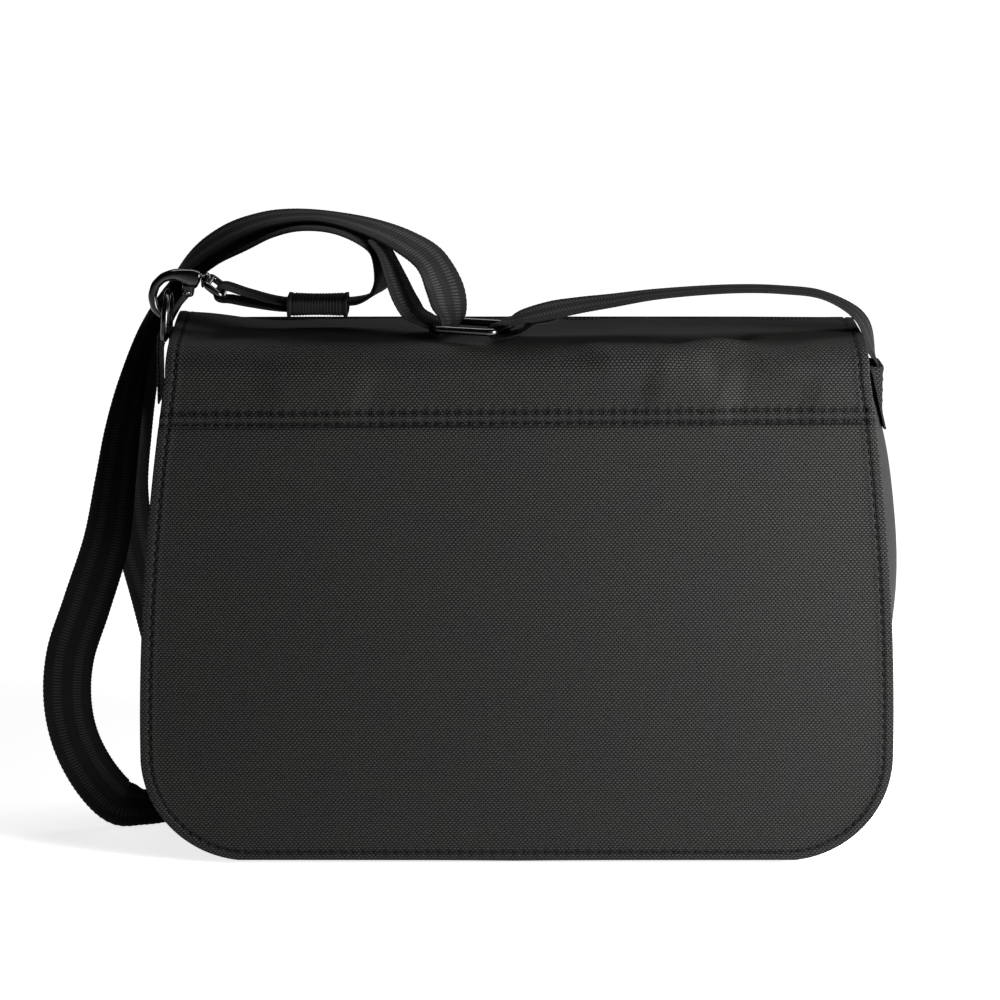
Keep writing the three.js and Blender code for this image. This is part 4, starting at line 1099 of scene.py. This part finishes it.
SLEEVE_WALL = 1.3 * MM
SLEEVE_SIDES = 96
RIB = 1.5 * MM  # rib to rib along the sleeve
ADJUSTER_AT = (-0.0215, -0.019, 0.2702)
ADJUSTER_YAW = math.radians(-20)
ADJUSTER_SIZE = (15.5 * MM, 14.5 * MM, 3 * MM)  # half length, half width, corner
ADJUSTER_WIRE = 1.95 * MM
D_RING_SIZE = (14 * MM, 22 * MM, 2.5 * MM)  # half width, height, corner
D_RING_LEAN = math.atan2(1.5, 22)
D_RING_WIRE = 1.75 * MM
EYE_AT = (-0.1506, STRAP_Y, 0.28725)
EYE_LONG = 7.2 * MM  # seen from above
EYE_SLOPE = math.atan2(5.5, 7.2)
EYE_WIRE = 1.8 * MM
BARREL_Z = 0.290
# Millimetres: x and radius along the swivel's barrel, with a grooved collar at each end.
BARREL = [(-158.0, 0.5), (-157.9, 2.9), (-157.4, 3.5), (-156.9, 3.2), (-156.7, 2.7), (-156.4, 2.8),
          (-156.2, 3.9), (-155.6, 4.3), (-154.4, 4.3), (-153.9, 3.9), (-153.6, 3.0), (-153.5, 0.5)]
# The hook's middle line in x and z from the swivel round to its nose, and its half width there.
HOOK_LINE = np.array([(-158.4, 290.2), (-163, 291.6), (-167.5, 292.8), (-172, 293.3), (-177, 291.8),
                      (-181, 288), (-182.7, 282.5), (-181.6, 276.5), (-177.4, 271.6)]) * MM
HOOK_HALF = np.array([4.4, 4.6, 3.5, 2.7, 2.4, 2.3, 2.2, 2.0, 1.3]) * MM
LUG_LINE = np.array([(-164.2, 289), (-164.5, 284.5), (-164.6, 281.9)]) * MM
LUG_HALF = np.array([3.4, 3.0, 2.6]) * MM
GATE_PIN = np.array([-164.5, 284.5]) * MM
GATE_TIP = np.array([-174.3, 272.6]) * MM
GATE_PIN_R = 1.9 * MM
GATE_TIP_R = 1.3 * MM
# A cast plate's edge: how far in it lies, as a share of its rounding, at each share of its half depth.
CAST_EDGE = [(1.0, -1), (0.62, -1), (0.3, -0.9), (0.09, -0.7), (0, -0.4), (0, 0), (0, 0.4), (0.09, 0.7),
             (0.3, 0.9), (0.62, 1), (1.0, 1)]


def make_sleeve():
    """A tube of ribbed tape with a bound end on each side."""
    low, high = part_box("strap_sleeve")
    middle_y, middle_z = (low.y + high.y) / 2, (low.z + high.z) / 2
    half_y, half_z = (high.y - low.y) / 2, (high.z - low.z) / 2
    x = steps(low.x, high.x, 0.35 * MM)[:, None]
    c, s = circle(SLEEVE_SIDES, 0.3, 0.55)
    end = np.minimum(x - low.x, high.x - x)
    rib = 0.16 * MM * np.cos(2 * math.pi * x / RIB) * smooth(end, 2.2 * MM, 3 * MM)
    bound = 0.25 * MM * (1 - smooth(end, 1.6 * MM, 2.4 * MM)) - 0.3 * MM * bell(end, 2.3 * MM, 0.4 * MM)
    sag = -0.5 * MM * np.sin(math.pi * (x - low.x) / (high.x - low.x))
    grow = rib + bound + sag - 0.35 * MM

    def wall(inset):
        y = middle_y + (half_y + grow * 0.5 - inset) * c
        z = middle_z + (half_z + grow - inset) * s
        return np.stack([x + 0 * y, y, z], -1).reshape(-1, 3)

    rows, cols = len(x), SLEEVE_SIDES
    count = rows * cols
    left = np.arange(cols)
    right = left + count - cols
    faces = grid_faces(rows, cols, flip=True, wrap=True) + grid_faces(rows, cols, count, wrap=True)
    faces += rim_faces(left, left + count) + rim_faces(right + count, right)
    around = np.arange(cols) * 2 * math.pi / cols * 9 * MM + 0 * x
    cloth = np.stack([around, x + 0 * around, 0 * around], -1).reshape(-1, 3)
    points = np.concatenate([wall(0), wall(SLEEVE_WALL)])
    piece = mesh_object("strap_sleeve_tape", points, faces, SLEEVE_CLOTH, np.concatenate([cloth, cloth]))
    belongs(piece, "bag", "webbing", "strap_sleeve")
    return piece


def wire_ring(name, cad, flat, origin, axis_a, axis_b, radius, body):
    """A closed loop of round wire through flat points, given along two axes from an origin."""
    a, b = np.asarray(axis_a), np.asarray(axis_b)
    path = np.asarray(origin) + flat[:, :1] * a + flat[:, 1:] * b
    loop = even_loop(path, 0.6 * MM, 1, least=48)
    ring = tube_mesh(name, loop, radius, GUNMETAL, sides=20, closed=True, across=np.cross(a, b))
    belongs(ring, body, "gunmetal", cad)
    return ring


def make_adjuster_ring():
    c, s = math.cos(ADJUSTER_YAW), math.sin(ADJUSTER_YAW)
    flat = rounded_loop(*ADJUSTER_SIZE)
    return wire_ring("adjuster_ring_wire", "adjuster_ring", flat, ADJUSTER_AT, (c, s, 0), (-s, c, 0),
                     ADJUSTER_WIRE, "bag")


def make_d_ring():
    half, tall, corner = D_RING_SIZE
    flat = np.concatenate([arc_points((0, tall - half), half, 0, 180, 28),
                           arc_points((corner - half, corner), corner, 180, 270, 6),
                           arc_points((half - corner, corner), corner, 270, 360, 6)])
    up = (math.sin(D_RING_LEAN), 0, math.cos(D_RING_LEAN))
    at = (LEFT_BAR[0], STRAP_Y, LEFT_BAR[1])
    wire_ring("d_ring_wire", "d_ring", flat, at, (0, 1, 0), up, D_RING_WIRE, "ring")


def cast_plate(name, outline, half, round_by):
    """A cast plate with well-rounded edges, from its anticlockwise outline in x and z."""
    edge = even_loop(outline, 0.45 * MM, 3)
    along = unit(np.roll(edge, -1, 0) - np.roll(edge, 1, 0))
    inward = np.stack([-along[:, 1], along[:, 0]], -1)
    rings = []
    for inset, level in CAST_EDGE:
        flat = edge + inward * inset * round_by
        rings.append(np.stack([flat[:, 0], np.full(len(edge), STRAP_Y + level * half), flat[:, 1]], -1))
    return mesh_object(name, np.concatenate(rings), tube_faces(len(rings), len(edge)), GUNMETAL)


def cast_bar(name, line, half_width, half_deep):
    """A bar of rounded section that bends in the x z plane, from its middle line and its half width there."""
    count, sides = 90, 28
    run = run_along(line)
    at = np.linspace(0, run[-1], count)
    path = points_at(line, at)
    half = np.interp(at, run, half_width)
    for _ in range(10):
        path[1:-1] = (path[:-2] + 2 * path[1:-1] + path[2:]) / 4
        half[1:-1] = (half[:-2] + 2 * half[1:-1] + half[2:]) / 4
    ends = np.clip(np.minimum(at, run[-1] - at) / (1.5 * MM), 0, 1)
    shrink = np.sqrt(np.clip(1 - (1 - ends) ** 2, 0.02, 1))[:, None]
    along = unit(np.gradient(path, axis=0))
    c, s = circle(sides, 0.7, 0.7)
    width = half[:, None] * shrink * c
    deep = half_deep * shrink * s
    points = np.stack([path[:, :1] - along[:, 1:] * width, STRAP_Y + deep,
                       path[:, 1:] + along[:, :1] * width], -1)
    return mesh_object(name, points, tube_faces(count, sides), GUNMETAL)


def make_hook():
    body = cast_bar("hook_casting", HOOK_LINE, HOOK_HALF, 3.3 * MM)
    belongs(body, "hook", "gunmetal", "hook_body")
    lug = cast_bar("hook_lug", LUG_LINE, LUG_HALF, 3.2 * MM)
    belongs(lug, "hook", "gunmetal")
    along = unit(GATE_TIP - GATE_PIN)
    side = np.array([-along[1], along[0]])
    turn = np.linspace(0, math.pi, 14)[:, None]
    bow = side * np.cos(turn) - along * np.sin(turn)
    outline = np.concatenate([GATE_PIN + GATE_PIN_R * bow, GATE_TIP - GATE_TIP_R * (bow + along)])
    gate = cast_plate("hook_gate_casting", outline, 1.7 * MM, 0.6 * MM)
    belongs(gate, "gate", "gunmetal", "hook_gate")
    pin = [(GATE_PIN[0], STRAP_Y + y * MM, GATE_PIN[1]) for y in (-3.9, -3.75, -3.5, 3.5, 3.75, 3.9)]
    rivet = tube_mesh("hook_gate_rivet", pin, np.array([0.5, 0.9, 1.0, 1.0, 0.9, 0.5]) * MM, NICKEL, 16)
    belongs(rivet, "hook", "nickel", "hook_gate_pin")
    return [body, lug, gate, rivet]


def make_eye():
    """The swivel's barrel and the sloping wire loop that the webbing goes round."""
    flat = rounded_loop(EYE_LONG / math.cos(EYE_SLOPE) / 2, 15 * MM, 2.4 * MM)
    down = (math.cos(EYE_SLOPE), 0, -math.sin(EYE_SLOPE))
    eye = wire_ring("hook_eye_wire", "hook_eye", flat, EYE_AT, down, (0, 1, 0), EYE_WIRE, "bag")
    path = [(x * MM, STRAP_Y, BARREL_Z) for x, _ in BARREL]
    barrel = tube_mesh("hook_eye_barrel", path, np.array([r for _, r in BARREL]) * MM, GUNMETAL, 24)
    belongs(barrel, "bag", "gunmetal")
    return [eye, barrel]


# ---- inside --------------------------------------------------------------------------------------

TOOTH_HALF = np.array([0.5, 0.55, 1.5]) * MM
TOOTH_PITCH = 1.25 * MM
TOOTH_ASIDE = 0.9 * MM  # from the zip's middle to a tooth's


def make_zip_teeth():
    """The zip's two rows of teeth, meshed along the middle of its tape."""
    low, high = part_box("zip_tape")
    y, z = low.y - 0.5 * MM, (low.z + high.z) / 2
    corner = np.array([(-1, -1, -1), (1, -1, -1), (1, 1, -1), (-1, 1, -1),
                       (-1, -1, 1), (1, -1, 1), (1, 1, 1), (-1, 1, 1)])
    block = [(0, 3, 2, 1), (4, 5, 6, 7), (0, 1, 5, 4), (1, 2, 6, 5), (2, 3, 7, 6), (3, 0, 4, 7)]
    points, faces = [], []
    for k, x in enumerate(np.arange(low.x + 4 * MM, high.x - 4 * MM, TOOTH_PITCH)):
        aside = TOOTH_ASIDE if k % 2 else -TOOTH_ASIDE
        points.append(corner * TOOTH_HALF + (x, y, z + aside))
        faces += [tuple(8 * k + n for n in face) for face in block]
    belongs(mesh_object("zip_teeth", np.concatenate(points), faces, NICKEL), "bag", "nickel")


# ---- finish --------------------------------------------------------------------------------------


def dress_cad_nodes():
    """Materials for the CAD nodes that stay."""
    looks = [
        (TAPE_CAD, ["seam_binding_front", "seam_binding_back", "mouth_binding", "zip_tape"]),
        (BOARD_CAD, ["base_board"]),
        (LINING_CAD, ["lining", "slip_pocket", "pen_pocket", "zip_pocket"]),
        (MAGNET, ["snap_magnet_left", "snap_magnet_right"]),
        (NICKEL, ["snap_socket_left", "snap_socket_right", "snap_stud_left", "snap_stud_right"]),
        (NICKEL, ["zip_slider", "zip_puller"]),
    ]
    for material, names in looks:
        for name in names:
            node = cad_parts[name]
            node.data.materials.clear()
            node.data.materials.append(material)


add_camera()
adjuster = make_adjuster_ring()
make_straps([make_sleeve(), *make_eye(), *make_hook()])
make_d_ring()
make_flap()
make_gusset()
make_panels()
make_right_tab()
make_left_tab()
make_zip_teeth()
dress_cad_nodes()
add_studio()
